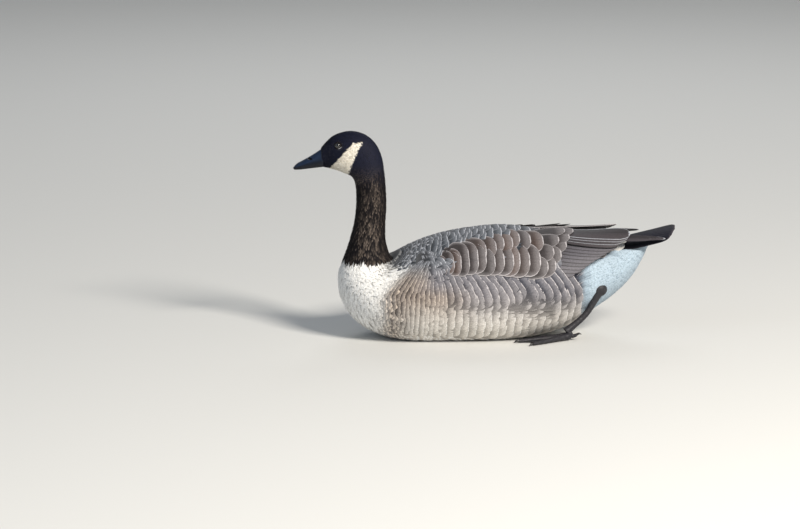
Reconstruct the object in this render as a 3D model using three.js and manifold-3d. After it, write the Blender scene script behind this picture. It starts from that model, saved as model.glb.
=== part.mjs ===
import * as THREE from 'three';
import { mergeVertices } from 'three/addons/utils/BufferGeometryUtils.js';
import Module from 'manifold-3d';

// A Canada goose at rest on its belly with the wings folded, life size, in millimetres.
// It faces -X, +Z is up, its left side is -Y, and it rests on the plane z = 0.

const seam = 0.3;              // gap kept between pieces that meet
const skinGap = 0.36;          // gap between the body and what lies on it

// One station is a flat section across the bird: the top and under points of the side
// outline, half the width, the height of the widest place as a share of the section, and
// how square the lower half is (2 is an ellipse).
function station(name, top, under, half, waist = 0.5, square = 2) {
  return { name, values: [...top, ...under, half, waist, square] };
}

const stations = [
  station('bill base', [-262, 305], [-262, 275], 11.5),
  station('lores', [-254, 314], [-255, 273.5], 14.5, 0.48),
  station('brow', [-244, 323], [-248.5, 272], 18, 0.46),
  station('eyes', [-232, 328.5], [-241, 270], 21, 0.45, 2.1),
  station('crown', [-216, 331.5], [-233, 267.5], 23.5, 0.45, 2.1),
  station('cheek', [-200, 329], [-225, 264], 24.5, 0.48, 2.1),
  station('hind crown', [-186.5, 322.5], [-218, 261], 24),
  station('nape', [-173.5, 309], [-213, 258], 23.5),
  station('throat', [-165, 290], [-209.5, 253], 23),
  station('upper neck', [-161, 268], [-207.5, 246], 23),
  station('neck bend', [-158.5, 242], [-206, 233], 23),
  station('mid neck', [-157.5, 212], [-206, 210], 23.5),
  station('low neck', [-159, 184], [-209, 184], 25.5),
  station('neck foot', [-159, 159], [-215.5, 159], 30.5),
  station('hackle', [-154.5, 138], [-222, 138], 38),
  station('collar', [-147, 124], [-228.5, 121], 47),
  station('crop', [-143, 126], [-234.5, 97], 58),
  station('breast', [-137, 132], [-231, 65], 70),
  station('keel', [-126, 141], [-213, 32], 83, 0.5, 2.1),
  station('shoulder', [-108, 150], [-178, 8], 94, 0.5, 2.2),
  station('wing front', [-82, 159], [-128, -6], 103, 0.5, 2.3),
  station('ribs', [-45, 167], [-66, -9], 107, 0.5, 2.3),
  station('middle', [-5, 171], [-8, -9], 108, 0.5, 2.3),
  station('loin', [38, 170], [45, -6], 104, 0.5, 2.3),
  station('hip', [80, 164], [96, 4], 94, 0.5, 2.2),
  station('thigh', [118, 157], [142, 22], 79, 0.5, 2.1),
  station('rump', [152, 151], [180, 44], 62),
  station('vent', [182, 148], [211, 66], 50),
  station('under coverts', [207, 150], [236, 92], 41),
  station('tail muscle', [226, 152], [252, 118], 33),
  station('tail root', [238, 153], [262, 140], 24),
  station('tail wedge', [263, 158], [272, 155], 13),
];

// The folded wing lies on a cloak over the back and the flanks: at each x an ellipse of
// half width, mid height and top height, and an angle of 0 on the back and 90 at the side.
const cloakStations = [
  { x: -140, half: 92, mid: 80, top: 147 },
  { x: -90, half: 106, mid: 80, top: 159 },
  { x: -40, half: 113, mid: 80, top: 168 },
  { x: 10, half: 114, mid: 80, top: 172 },
  { x: 60, half: 110, mid: 84, top: 172 },
  { x: 110, half: 98, mid: 92, top: 173 },
  { x: 160, half: 79, mid: 106, top: 173 },
  { x: 210, half: 60, mid: 122, top: 175 },
  { x: 250, half: 59, mid: 122, top: 179 },
  { x: 300, half: 63, mid: 120, top: 183 },
];

const bill = {
  base: -262, tip: -306.5, baseHalf: 12, tipHalf: 8.5, mouthBase: 279.5, mouthTip: 272.8,
  ridge: 19.6, ridgePower: 1.75, nail: 5.4, underBase: 274.6, underTip: 269.4,
};
const eye = { x: -235.6, z: 310.2, side: 13.6, radius: 6.6, lidRing: 5.2, lidThick: 1.15 };
const nostril = { x: -280, z: 288.4, length: 8, height: 3, depth: 1.8 };
const tail = {
  rootX: 214, tipX: 306.5, rootZ: 153, tipZ: 172, rootHalf: 27, tipHalf: 42, sag: 13,
  count: 12, vane: 17, tilt: 5.8,
};
const scapular = { rows: 7, firstTip: -48, lastTip: 80, length: 44, width: 46 };
const vaneRows = 4;            // steps along a vane
const shankRadii = [8.5, 5.2, 4.9, 6.6];
const jointRadii = [12, 8.5, 11];
const hock = new THREE.Vector3(180, 49, 78);
const ankle = new THREE.Vector3(124, 66, 14);
const toeTips = [[74, 62, 2.2], [46, 84, 2.2], [66, 110, 2.2]].map((p) => new THREE.Vector3(...p));

const wasm = await Module();
wasm.setup();

let seed = 20;

// A repeatable draw between -1 and 1.
function vary() {
  seed = (seed * 16807) % 2147483647;
  return 2 * seed / 2147483647 - 1;
}

// Solids and meshes

function toSolid(geometry) {
  const bare = geometry.clone();
  bare.deleteAttribute('normal');
  bare.deleteAttribute('uv');
  const welded = mergeVertices(bare, 1e-5);
  return new wasm.Manifold(new wasm.Mesh({
    numProp: 3,
    vertProperties: new Float32Array(welded.attributes.position.array),
    triVerts: new Uint32Array(welded.index.array),
  }));
}

function toGeometry(solid) {
  const mesh = solid.getMesh();
  const geometry = new THREE.BufferGeometry();
  geometry.setAttribute('position', new THREE.BufferAttribute(mesh.vertProperties, 3));
  geometry.setIndex(new THREE.BufferAttribute(mesh.triVerts, 1));
  return geometry;
}

function largest(solid) {
  const pieces = solid.decompose();
  return pieces.reduce((best, piece) => (piece.volume() > best.volume() ? piece : best));
}

function join(geometries) {
  return geometries.map(toSolid).reduce((sum, solid) => sum.add(solid));
}

function volumeOf(points, faces) {
  let total = 0;
  for (const [a, b, c] of faces) {
    total += points[a].dot(new THREE.Vector3().crossVectors(points[b], points[c]));
  }
  return total / 6;
}

function closedGeometry(points, faces) {
  const inward = volumeOf(points, faces) < 0;
  const geometry = new THREE.BufferGeometry();
  geometry.setAttribute('position', new THREE.Float32BufferAttribute(
    points.flatMap((point) => [point.x, point.y, point.z]), 3));
  geometry.setIndex(faces.flatMap(([a, b, c]) => (inward ? [a, c, b] : [a, b, c])));
  return geometry;
}

// A closed skin over rings of equal count, with a fan over the first and the last ring.
function loft(rings) {
  const count = rings[0].length;
  const points = rings.flat();
  const faces = [];
  for (let row = 0; row < rings.length - 1; row += 1) {
    for (let i = 0; i < count; i += 1) {
      const a = row * count + i;
      const b = row * count + ((i + 1) % count);
      faces.push([a, b, b + count], [a, b + count, a + count]);
    }
  }
  const last = (rings.length - 1) * count;
  const fans = [[0, rings[0], true], [last, rings[rings.length - 1], false]];
  for (const [start, ring, first] of fans) {
    const centre = new THREE.Vector3();
    ring.forEach((point) => centre.addScaledVector(point, 1 / count));
    points.push(centre);
    for (let i = 0; i < count; i += 1) {
      const a = start + i;
      const b = start + ((i + 1) % count);
      faces.push(first ? [points.length - 1, b, a] : [points.length - 1, a, b]);
    }
  }
  return closedGeometry(points, faces);
}

// The body's surface

function smooth(rows, t) {
  const i = Math.min(Math.floor(t), rows.length - 2);
  const f = t - i;
  const pick = (k) => rows[Math.min(Math.max(k, 0), rows.length - 1)];
  const [p, q, r, s] = [pick(i - 1), pick(i), pick(i + 1), pick(i + 2)];
  return q.map((value, k) => 0.5 * (2 * value + (r[k] - p[k]) * f
    + (2 * p[k] - 5 * value + 4 * r[k] - s[k]) * f * f
    + (3 * value - p[k] - 3 * r[k] + s[k]) * f * f * f));
}

const stationRows = stations.map((row) => row.values);

function stationAt(name) {
  return stations.findIndex((row) => row.name === name);
}

function power(value, exponent) {
  return Math.sign(value) * Math.abs(value) ** exponent;
}

// Angle 0 is the top of the section, 180 the under side; positive is the right side.
function bodyPoint(t, angle) {
  const [topX, topZ, underX, underZ, half, waist, square] = smooth(stationRows, t);
  const up = Math.cos(angle);
  const bend = up >= 0 ? 2 : square;
  const rise = waist + power(up, 2 / bend) * (up >= 0 ? 1 - waist : waist);
  return new THREE.Vector3(underX + rise * (topX - underX),
    half * power(Math.sin(angle), 2 / bend), underZ + rise * (topZ - underZ));
}

function surfaceNormal(surface, u, v, stepU, stepV) {
  const alongU = surface(u + stepU, v).sub(surface(u - stepU, v));
  const alongV = surface(u, v + stepV).sub(surface(u, v - stepV));
  return alongU.cross(alongV).normalize();
}

function bodyRing(t, count, lift) {
  const last = stations.length - 1;
  const inner = Math.min(Math.max(t, 0.001), last - 0.001);
  const ring = [];
  for (let i = 0; i < count; i += 1) {
    const angle = 2 * Math.PI * (i + 0.5) / count;
    const point = bodyPoint(t, angle);
    point.addScaledVector(surfaceNormal(bodyPoint, inner, angle, 0.001, 0.001), lift);
    point.z = Math.max(point.z, lift > 0 ? -1 : 0);
    ring.push(point);
  }
  return ring;
}

// The length of body between two named stations. Each end face is moved along the body by
// its own amount, so that lengths which meet keep a seam.
function bodyLength(from, to, rows, count, { lift = 0, start = seam / 2, end = -seam / 2 }) {
  const t0 = stationAt(from);
  const t1 = stationAt(to);
  const rings = [];
  for (let row = 0; row <= rows; row += 1) {
    rings.push(bodyRing(t0 + (t1 - t0) * row / rows, count, lift));
  }
  for (const [ring, t, move] of [[rings[0], t0, start], [rings[rows], t1, end]]) {
    const [topX, topZ, underX, underZ] = smooth(stationRows, t);
    const along = new THREE.Vector3(topZ - underZ, 0, underX - topX).normalize();
    ring.forEach((point) => point.addScaledVector(along, move));
  }
  return loft(rings);
}

const torsoShape = ['collar', 'tail muscle', 25, 32];
const grownTorso = toSolid(bodyLength(...torsoShape, { lift: skinGap, end: seam / 2 }));

const parts = new THREE.Group();

function place(name, geometry, color, roughness = 0.9) {
  const material = new THREE.MeshStandardMaterial({ color, roughness, metalness: 0 });
  const mesh = new THREE.Mesh(geometry, material);
  mesh.name = name;
  parts.add(mesh);
}

const sides = [{ name: 'left', side: -1 }, { name: 'right', side: 1 }];

function mirrored(geometry, side) {
  if (side > 0) return geometry;
  const copy = geometry.clone().scale(1, -1, 1);
  const index = copy.index.array;
  for (let i = 0; i < index.length; i += 3) {
    [index[i], index[i + 1]] = [index[i + 1], index[i]];
  }
  return copy;
}

// Head with eye sockets and lids

function ball(centre, radius, detail = 14) {
  const geometry = new THREE.SphereGeometry(radius, detail, Math.round(detail * 0.6));
  return geometry.translate(centre.x, centre.y, centre.z);
}

function eyeCentre(side) {
  return new THREE.Vector3(eye.x, side * eye.side, eye.z);
}

function lid(side) {
  const sectionSides = 5;
  const profile = [];
  for (let i = 0; i <= sectionSides; i += 1) {
    const angle = 2 * Math.PI * i / sectionSides;
    profile.push(new THREE.Vector2(eye.lidRing + eye.lidThick * Math.cos(angle),
      1.3 * eye.lidThick * Math.sin(angle)));
  }
  const ring = new THREE.LatheGeometry(profile, 13);
  const facing = new THREE.Vector3(-0.18, side, 0.16).normalize();
  const turn = new THREE.Quaternion().setFromUnitVectors(new THREE.Vector3(0, 1, 0), facing);
  const centre = eyeCentre(side).addScaledVector(facing, eye.radius - 2.2);
  return ring.applyQuaternion(turn).translate(centre.x, centre.y, centre.z);
}

function makeHead() {
  let solid = toSolid(bodyLength('bill base', 'throat', 14, 28, { start: 0 }));
  for (const { side } of sides) {
    solid = solid.add(toSolid(lid(side)));
    solid = solid.subtract(toSolid(ball(eyeCentre(side), eye.radius + seam)));
  }
  place('head', toGeometry(largest(solid)), 0x17171c);
  for (const { name, side } of sides) {
    place(`eye_${name}`, ball(eyeCentre(side), eye.radius), 0x0a0604, 0.1);
  }
}

// Bill

function billHalf(s) {
  return THREE.MathUtils.lerp(bill.baseHalf, bill.tipHalf, s ** 1.5);
}

function billMouth(s) {
  return THREE.MathUtils.lerp(bill.mouthBase, bill.mouthTip, s ** 2.2);
}

function billTop(s) {
  return billMouth(s) + bill.ridge * (1 - s) ** bill.ridgePower + bill.nail * (1 - s ** 12);
}

function billRing(s, x, half, low, high, flatUp) {
  const count = 14;
  const ring = [];
  for (let i = 0; i < count; i += 1) {
    const angle = Math.PI * i / (count - 1);
    const height = Math.abs(Math.sin(angle)) ** 0.85 * (high - low);
    const z = flatUp ? high - height : low + height;
    ring.push(new THREE.Vector3(x, half * Math.cos(angle), z));
  }
  return ring;
}

function makeBill() {
  const steps = [0, 0.12, 0.3, 0.48, 0.64, 0.78, 0.89, 0.96, 1];
  const upper = [];
  const lower = [];
  for (const s of steps) {
    const x = THREE.MathUtils.lerp(bill.base - seam, bill.tip, s);
    const round = Math.sqrt(1 - (Math.max(s - 0.72, 0) / 0.285) ** 2);
    const mouth = billMouth(s);
    upper.push(billRing(s, x, billHalf(s) * round + 0.3, mouth + seam / 2, billTop(s) + 0.8, false));
    const under = THREE.MathUtils.lerp(bill.underBase, bill.underTip, s);
    lower.push(billRing(s, x + 1.5 * s, (billHalf(s) - 1.2) * round + 0.3,
      Math.min(under, mouth - 1), mouth - seam / 2, true));
  }
  let solid = toSolid(loft(upper));
  for (const { side } of sides) {
    const hole = new THREE.SphereGeometry(1, 12, 8);
    hole.scale(nostril.length / 2, nostril.depth, nostril.height / 2);
    hole.rotateY(0.3);
    hole.translate(nostril.x, side * (billHalf(0.4) - 2.6), nostril.z);
    solid = solid.subtract(toSolid(hole));
  }
  place('bill_upper', toGeometry(largest(solid)), 0x1c2026, 0.5);
  place('bill_lower', loft(lower), 0x1c2026, 0.5);
}

// Wings on the cloak

const cloakRows = cloakStations.map(({ half, mid, top }) => [half, mid, top]);

function cloakRow(x) {
  let i = cloakStations.length - 2;
  while (i > 0 && cloakStations[i].x > x) i -= 1;
  const span = cloakStations[i + 1].x - cloakStations[i].x;
  return smooth(cloakRows, i + (x - cloakStations[i].x) / span);
}

function cloakPoint(x, degrees) {
  const [half, mid, top] = cloakRow(x);
  const angle = THREE.MathUtils.degToRad(degrees);
  return new THREE.Vector3(x, half * Math.sin(angle), mid + (top - mid) * Math.cos(angle));
}

function onCloak(x, degrees, lift) {
  const normal = surfaceNormal(cloakPoint, x, degrees, 0.5, 0.5).negate();
  if (normal.y < 0) normal.negate();
  return cloakPoint(x, degrees).addScaledVector(normal, lift);
}

// A thin closed piece over a grid: pointAt(row, column, face) gives both of its faces, and
// they are split into triangles alike.
function shell(rows, columns, pointAt) {
  const points = [];
  const faces = [];
  const line = columns + 1;
  const layer = (rows + 1) * line;
  for (const face of [1, 0]) {
    for (let row = 0; row <= rows; row += 1) {
      for (let column = 0; column <= columns; column += 1) {
        points.push(pointAt(row / rows, column / columns, face));
      }
    }
  }
  for (let row = 0; row < rows; row += 1) {
    for (let column = 0; column < columns; column += 1) {
      const a = row * line + column;
      const b = a + layer;
      faces.push([a, a + 1, a + line + 1], [a, a + line + 1, a + line]);
      faces.push([b, b + line + 1, b + 1], [b, b + line, b + line + 1]);
    }
  }
  const border = [];
  for (let column = 0; column < columns; column += 1) border.push(column);
  for (let row = 0; row < rows; row += 1) border.push(row * line + columns);
  for (let column = columns; column > 0; column -= 1) border.push(rows * line + column);
  for (let row = rows; row > 0; row -= 1) border.push(row * line);
  border.forEach((a, i) => {
    const b = border[(i + 1) % border.length];
    faces.push([b, a, a + layer], [b, a + layer, b + layer]);
  });
  return closedGeometry(points, faces);
}

const { lerp, smoothstep } = THREE.MathUtils;

// The pad of small coverts: its upper and lower edges in degrees, and how far it stands over
// and under the cloak. It thins to its rim at the front, top and bottom.
function pad({ from, to, upper, lower, over, under, rim, rows, columns }) {
  return shell(rows, columns, (s, v, face) => {
    const x = lerp(from, to, s);
    const degrees = lerp(upper(x), lower(x), v);
    const nearEdge = Math.min(s * (to - from) / 30, v * 5, (1 - v) * 5);
    const top = lerp(rim, over(x), smoothstep(nearEdge, 0, 1));
    return onCloak(x, degrees, face ? top : Math.min(under(x), top - 0.9));
  });
}

// One vane from its root to its tip, narrow at the root and round at the tip. surface gives a
// point from the way along, the place across in millimetres, and the lift. A rise under 1
// lifts it early, so that it leaves what it is rooted in within a short way.
function vane(surface, width, rootLift, tipLift, rise = 1) {
  return shell(vaneRows, 2, (row, v, face) => {
    const s = 1 - (1 - row) ** 1.6;
    const round = s < 0.66 ? 1 : Math.sqrt(1.05 - ((s - 0.66) / 0.34) ** 2);
    const across = width * (v - 0.5) * Math.min(1, 0.6 + 0.9 * s) * round;
    const lift = lerp(rootLift, tipLift, s ** rise);
    return surface(s, across, lift + (face ? lerp(0.8, 0.55, s) : 0));
  });
}

// A tier of vanes over the cloak between a first and a last one, given as x and angle, each
// with small seeded changes. Each vane tilts so that it lies over the next one by the step,
// and each may also start from a lift that is lower by the drop.
function tier({ count, roots, tips, widths, lifts, step = 1, drop = 0, bow = 0, rise }) {
  const vanes = [];
  for (let i = 0; i < count; i += 1) {
    const k = count > 1 ? i / (count - 1) : 0;
    const root = [0, 1].map((axis) => lerp(roots[0][axis], roots[1][axis], k));
    const tip = [0, 1].map((axis) => lerp(tips[0][axis], tips[1][axis], k));
    tip[0] += 2.5 * vary();
    const surface = (s, across, lift) => {
      const x = lerp(root[0], tip[0], s);
      const degrees = lerp(root[1], tip[1], s) + 4 * bow * s * (1 - s);
      const next = lerp(roots[1][1] - roots[0][1], tips[1][1] - tips[0][1], s) / (count - 1);
      const perDegree = cloakPoint(x, degrees + 0.5).distanceTo(cloakPoint(x, degrees - 0.5));
      const turn = across / perDegree;
      return onCloak(x, degrees + turn, lift + (count > 1 ? step * turn / next : 0));
    };
    const width = lerp(widths[0], widths[1], k) * (1 + 0.03 * vary());
    vanes.push(vane(surface, width, lifts[0], lifts[1] - drop * i, rise));
  }
  return vanes;
}

function wingUpper(x) {
  return x < 60 ? lerp(50, 9, (x + 98) / 158) : lerp(9, 34, Math.min((x - 60) / 90, 1));
}

function wingLower(x) {
  return lerp(64, 71, smoothstep(x, -98, 92));
}

const wingCore = {
  from: -98,
  to: 92,
  upper: wingUpper,
  lower: wingLower,
  over: (x) => lerp(3.4, 1.4, smoothstep(x, 60, 92)),
  under: () => -16,
  rim: -2,
  rows: 11,
  columns: 5,
};

// Tiers from the outside in: two rows of greater coverts, tertials, secondaries, primaries.
function wingVanes() {
  return [
    ...tier({ count: 3, roots: [[46, 22], [44, 58]], tips: [[77, 22], [73, 60]],
      widths: [42, 40], lifts: [0.6, 4], rise: 0.5 }),
    ...tier({ count: 4, roots: [[58, 21], [52, 61]], tips: [[99, 23], [94, 65]],
      widths: [34, 31], lifts: [-1.6, 2.4], rise: 0.6 }),
    ...tier({ count: 4, roots: [[66, 25], [68, 39]], tips: [[231, 43], [208, 52]],
      widths: [26, 22], lifts: [-2.4, 0.9], step: 0.75, drop: 0.45 }),
    ...tier({ count: 6, roots: [[68, 44], [70, 65]], tips: [[198, 54], [150, 70]],
      widths: [21, 19], lifts: [-3.4, -1.4], step: 0.95, drop: 0.15 }),
    ...tier({ count: 4, roots: [[78, 51], [74, 57]], tips: [[242, 45], [286, 53]],
      widths: [16, 14], lifts: [-9, 1], step: 0.3, drop: 0.85, bow: -9 }),
  ];
}

const scapularCore = {
  from: -88,
  to: 45,
  upper: (x) => wingUpper(x) + 1,
  lower: (x) => wingLower(x) - 7,
  over: () => 5.3,
  under: () => 2.5,
  rim: 4.9,
  rows: 7,
  columns: 4,
};

// Rows of scapulars down the shoulder, each row over the next one behind it.
function scapularVanes() {
  const vanes = [];
  for (let row = 0; row < scapular.rows; row += 1) {
    const x = lerp(scapular.firstTip, scapular.lastTip, row / (scapular.rows - 1));
    const root = x - scapular.length;
    const high = Math.max(wingUpper(x) + 10, 22);
    const low = wingLower(x) - 17;
    const count = low - high > 12 ? 2 : 1;
    vanes.push(...tier({ count, roots: [[root, high + 1], [root - 4, low - 1]],
      tips: [[x + 3, high], [x - 4, low]], widths: [scapular.width, scapular.width],
      lifts: [4.3, 7.9], rise: 0.5 }));
  }
  return vanes;
}

function grow(shape) {
  return toSolid(pad({
    ...shape,
    over: (x) => shape.over(x) + skinGap,
    rim: shape.rim + skinGap,
  }));
}

function makeWings() {
  const wing = largest(join([pad(wingCore), ...wingVanes()]).subtract(grownTorso));
  const cover = join([pad(scapularCore), ...scapularVanes()]).subtract(grow(wingCore));
  for (const { name, side } of sides) {
    place(`wing_${name}`, mirrored(toGeometry(wing), side), 0x7a6c62);
    place(`scapulars_${name}`, mirrored(toGeometry(largest(cover)), side), 0x6c6058);
  }
}

// Tail: a fan of rectrices on the muscle and coverts of the root

function tailPoint(s, across, lift) {
  const x = lerp(tail.rootX - 6 * Math.abs(across), tail.tipX - 14 * across ** 2, s);
  const y = lerp(tail.rootHalf, tail.tipHalf, s) * across;
  const z = lerp(tail.rootZ, tail.tipZ, s) - tail.sag * across ** 2 + 2.5 * s * (s - 1);
  return new THREE.Vector3(x, y, z + lift);
}

function rectrix(index) {
  const centre = lerp(-0.93, 0.93, index / (tail.count - 1));
  const outward = Math.sign(centre);
  const length = 1 - 0.01 * Math.abs(vary());
  const surface = (s, across, lift) => {
    const share = across / lerp(tail.rootHalf, tail.tipHalf, s);
    return tailPoint(s * length, centre + outward * share, lift + tail.tilt * share);
  };
  const middle = index === tail.count / 2 ? 1.1 : 0;
  return vane(surface, tail.vane, -1, middle);
}

function makeTail() {
  const base = bodyLength('tail muscle', 'tail wedge', 6, 18, { end: 0 });
  const heel = shell(2, 8, (s, v, face) => tailPoint(0.36 * s, 2.2 * v - 1.1, face ? 1.8 : -8));
  const vanes = [];
  for (let index = 0; index < tail.count; index += 1) vanes.push(rectrix(index));
  const solid = largest(join([base, heel, ...vanes]).subtract(grownTorso));
  place('tail', toGeometry(solid), 0x1c1c20);
}

// Legs and feet

function tube(path, radii, count) {
  const curve = new THREE.CatmullRomCurve3(path);
  const rings = radii.map((radius, i) => {
    const s = i / (radii.length - 1);
    const centre = curve.getPoint(s);
    const along = curve.getTangent(s);
    const across = new THREE.Vector3(0, 1, 0).cross(along).normalize();
    const other = new THREE.Vector3().crossVectors(along, across);
    const ring = [];
    for (let k = 0; k < count; k += 1) {
      const angle = 2 * Math.PI * (k + 0.5) / count;
      const point = centre.clone().addScaledVector(across, radius * Math.cos(angle));
      point.addScaledVector(other, radius * Math.sin(angle));
      point.z = Math.max(point.z, 0);
      ring.push(point);
    }
    return ring;
  });
  return loft(rings);
}

function makeLegs() {
  const knee = new THREE.Vector3(160, 40, 92);
  const bend = hock.clone().lerp(ankle, 0.5).add(new THREE.Vector3(5, 0, -5));
  const shank = tube([hock, bend, ankle], shankRadii, 8);
  const thigh = tube([knee, hock], [13, 8.5], 8);
  const joint = new THREE.SphereGeometry(1, 8, 6);
  joint.scale(...jointRadii);
  joint.translate(...hock);
  const leg = largest(join([shank, thigh, joint]).subtract(grownTorso));
  const grownShank = toSolid(tube([hock, bend, ankle.clone().add(new THREE.Vector3(-0.3, 0, -0.3))],
    shankRadii.map((radius, i) => radius + (i > 1 ? 0.3 : 0)), 8));
  const palm = ankle.clone().add(new THREE.Vector3(4, 0, -7));
  const toes = toeTips.map((tip) => tube([palm, palm.clone().lerp(tip, 0.5).setZ(4.4), tip],
    [8, 5.6, 3.9, 2.2], 6));
  const web = shell(3, 6, (s, v, face) => {
    const edge = v < 0.5 ? toeTips[0].clone().lerp(toeTips[1], 2 * v)
      : toeTips[1].clone().lerp(toeTips[2], 2 * v - 1);
    const bay = 0.9 - 0.22 * Math.sin(2 * Math.PI * v) ** 2;
    return palm.clone().lerp(edge, s * bay + 0.02).setZ(face ? 2.6 : 0.4);
  });
  const foot = largest(join([...toes, web]).subtract(grownShank).subtract(grownTorso));
  for (const { name, side } of sides) {
    place(`leg_${name}`, mirrored(toGeometry(leg), side), 0x1b1a1c, 0.6);
    place(`foot_${name}`, mirrored(toGeometry(foot), side), 0x1b1a1c, 0.6);
  }
}

makeHead();
makeBill();
place('neck', bodyLength('throat', 'collar', 12, 22, {}), 0x1a1719);
place('torso', bodyLength(...torsoShape, {}), 0xb0a498);
makeWings();
makeTail();
makeLegs();

export default parts;
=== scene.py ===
import math

import bpy
import numpy as np
from mathutils import Matrix, Vector


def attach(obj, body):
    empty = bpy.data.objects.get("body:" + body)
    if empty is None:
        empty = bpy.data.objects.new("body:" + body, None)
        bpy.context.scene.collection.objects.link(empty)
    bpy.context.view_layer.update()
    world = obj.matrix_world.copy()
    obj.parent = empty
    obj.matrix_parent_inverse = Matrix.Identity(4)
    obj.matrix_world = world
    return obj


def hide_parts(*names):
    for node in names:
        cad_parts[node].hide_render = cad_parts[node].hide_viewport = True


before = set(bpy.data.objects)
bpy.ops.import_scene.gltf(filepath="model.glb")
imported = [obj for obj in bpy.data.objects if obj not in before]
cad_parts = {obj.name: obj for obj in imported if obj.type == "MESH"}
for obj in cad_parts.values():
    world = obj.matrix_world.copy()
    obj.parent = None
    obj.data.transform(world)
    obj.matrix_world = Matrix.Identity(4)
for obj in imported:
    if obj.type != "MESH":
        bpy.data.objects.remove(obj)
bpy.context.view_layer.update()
print("frame loaded, nodes:", len(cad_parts))

# The goose faces -X with its left side on -Y. Shapes are worked out in millimetres and
# made in metres.
mm = 0.001
rng = np.random.default_rng(7)
sides = (("Left", -1), ("Right", 1))
floorGap = {"coat": 0.4, "skin": 1.2, "leg": 0.2, "web": 0.3}      # least height over the floor

# camera first: long lens, a little above the water line and ahead of the side view
camera = {
    "azimuth": -5, "elevation": 10, "distance": 9000, "mmPerPixel": 1.6, "pixels": 800,
    "sensor": 36, "clipEnd": 60,
    "anchor": (0, 0, 75),       # the point that the two shifts below are measured from
    "left": 84.5,               # pixels from the anchor to the middle of the picture
    "up": 23.2,
}


def addObject(name, data):
    made = bpy.data.objects.new(name, data)
    bpy.context.collection.objects.link(made)
    return made


def makeCamera():
    az, el = (math.radians(camera[k]) for k in ("azimuth", "elevation"))
    back = Vector((math.sin(az) * math.cos(el), -math.cos(az) * math.cos(el), math.sin(el)))
    right = (-back).cross(Vector((0, 0, 1))).normalized()
    up = right.cross(-back)
    scale = camera["mmPerPixel"]
    aim = Vector(camera["anchor"]) - right * camera["left"] * scale + up * camera["up"] * scale
    data = bpy.data.cameras.new("sideView")
    data.sensor_width = camera["sensor"]
    data.lens = camera["sensor"] * camera["distance"] / (camera["pixels"] * scale)
    data.clip_end = camera["clipEnd"]
    rig = addObject("sideView", data)
    turn = Matrix((right, up, back)).transposed().to_4x4()
    rig.matrix_world = Matrix.Translation((aim + back * camera["distance"]) * mm) @ turn
    bpy.context.scene.camera = rig


makeCamera()


def ease(x, low, high):
    t = np.clip((x - low) / (high - low), 0, 1)
    return t * t * (3 - 2 * t)


def mix(a, b, t):
    return a + (b - a) * t


def read(table, at):
    return np.interp(at, *table)


def unit(v):
    return v / np.maximum(np.linalg.norm(v, axis=-1, keepdims=True), 1e-9)


def power(value, exponent):
    return np.sign(value) * np.abs(value) ** exponent


def vary(share, count):
    return rng.uniform(1 - share, 1 + share, count)


# A smooth curve through rows of numbers, read at t rows from the first.
def along(rows, t):
    t = np.clip(t, 0, len(rows) - 1.0001)
    i = np.floor(t).astype(int)
    f = (t - i)[..., None]
    p, q, r, s = (rows[np.clip(i + k, 0, len(rows) - 1)] for k in (-1, 0, 1, 2))
    return 0.5 * (2 * q + (r - p) * f + (2 * p - 5 * q + 4 * r - s) * f * f
                  + (3 * q - p - 3 * r + s) * f * f * f)


# one row: top x z, under x z, half width, height of the widest place, squareness below
bodyStations = {
    "bill base": (-262, 305, -262, 275, 11.5, 0.5, 2),
    "lores": (-254, 314, -255, 273.5, 14.5, 0.48, 2),
    "brow": (-244, 323, -248.5, 272, 18, 0.46, 2),
    "eyes": (-232, 328.5, -241, 270, 21, 0.45, 2.1),
    "crown": (-216, 331.5, -233, 267.5, 23.5, 0.45, 2.1),
    "cheek": (-200, 329, -225, 264, 24.5, 0.48, 2.1),
    "hind crown": (-186.5, 322.5, -218, 261, 24, 0.5, 2),
    "nape": (-173.5, 309, -213, 258, 23.5, 0.5, 2),
    "throat": (-165, 290, -209.5, 253, 23, 0.5, 2),
    "upper neck": (-161, 268, -207.5, 246, 23, 0.5, 2),
    "neck bend": (-158.5, 242, -206, 233, 23, 0.5, 2),
    "mid neck": (-157.5, 212, -206, 210, 23.5, 0.5, 2),
    "low neck": (-159, 184, -209, 184, 25.5, 0.5, 2),
    "neck foot": (-159, 159, -215.5, 159, 30.5, 0.5, 2),
    "hackle": (-154.5, 138, -222, 138, 38, 0.5, 2),
    "collar": (-147, 124, -228.5, 121, 47, 0.5, 2),
    "crop": (-143, 126, -234.5, 97, 58, 0.5, 2),
    "breast": (-137, 132, -231, 65, 70, 0.5, 2),
    "keel": (-126, 141, -213, 32, 83, 0.5, 2.1),
    "shoulder": (-108, 150, -178, 8, 94, 0.5, 2.2),
    "wing front": (-82, 159, -128, -6, 103, 0.5, 2.3),
    "ribs": (-45, 167, -66, -9, 107, 0.5, 2.3),
    "middle": (-5, 171, -8, -9, 108, 0.5, 2.3),
    "loin": (38, 170, 45, -6, 104, 0.5, 2.3),
    "hip": (80, 164, 96, 4, 94, 0.5, 2.2),
    "thigh": (118, 157, 142, 22, 79, 0.5, 2.1),
    "rump": (152, 151, 180, 44, 62, 0.5, 2),
    "vent": (182, 148, 211, 66, 50, 0.5, 2),
    "under coverts": (207, 150, 236, 92, 41, 0.5, 2),
    "tail muscle": (226, 152, 252, 118, 33, 0.5, 2),
    "tail root": (238, 153, 262, 140, 24, 0.5, 2),
    "tail wedge": (263, 158, 272, 155, 13, 0.5, 2),
}
stationRows = np.array(list(bodyStations.values()), float)
lastStation = len(stationRows) - 1

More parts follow.
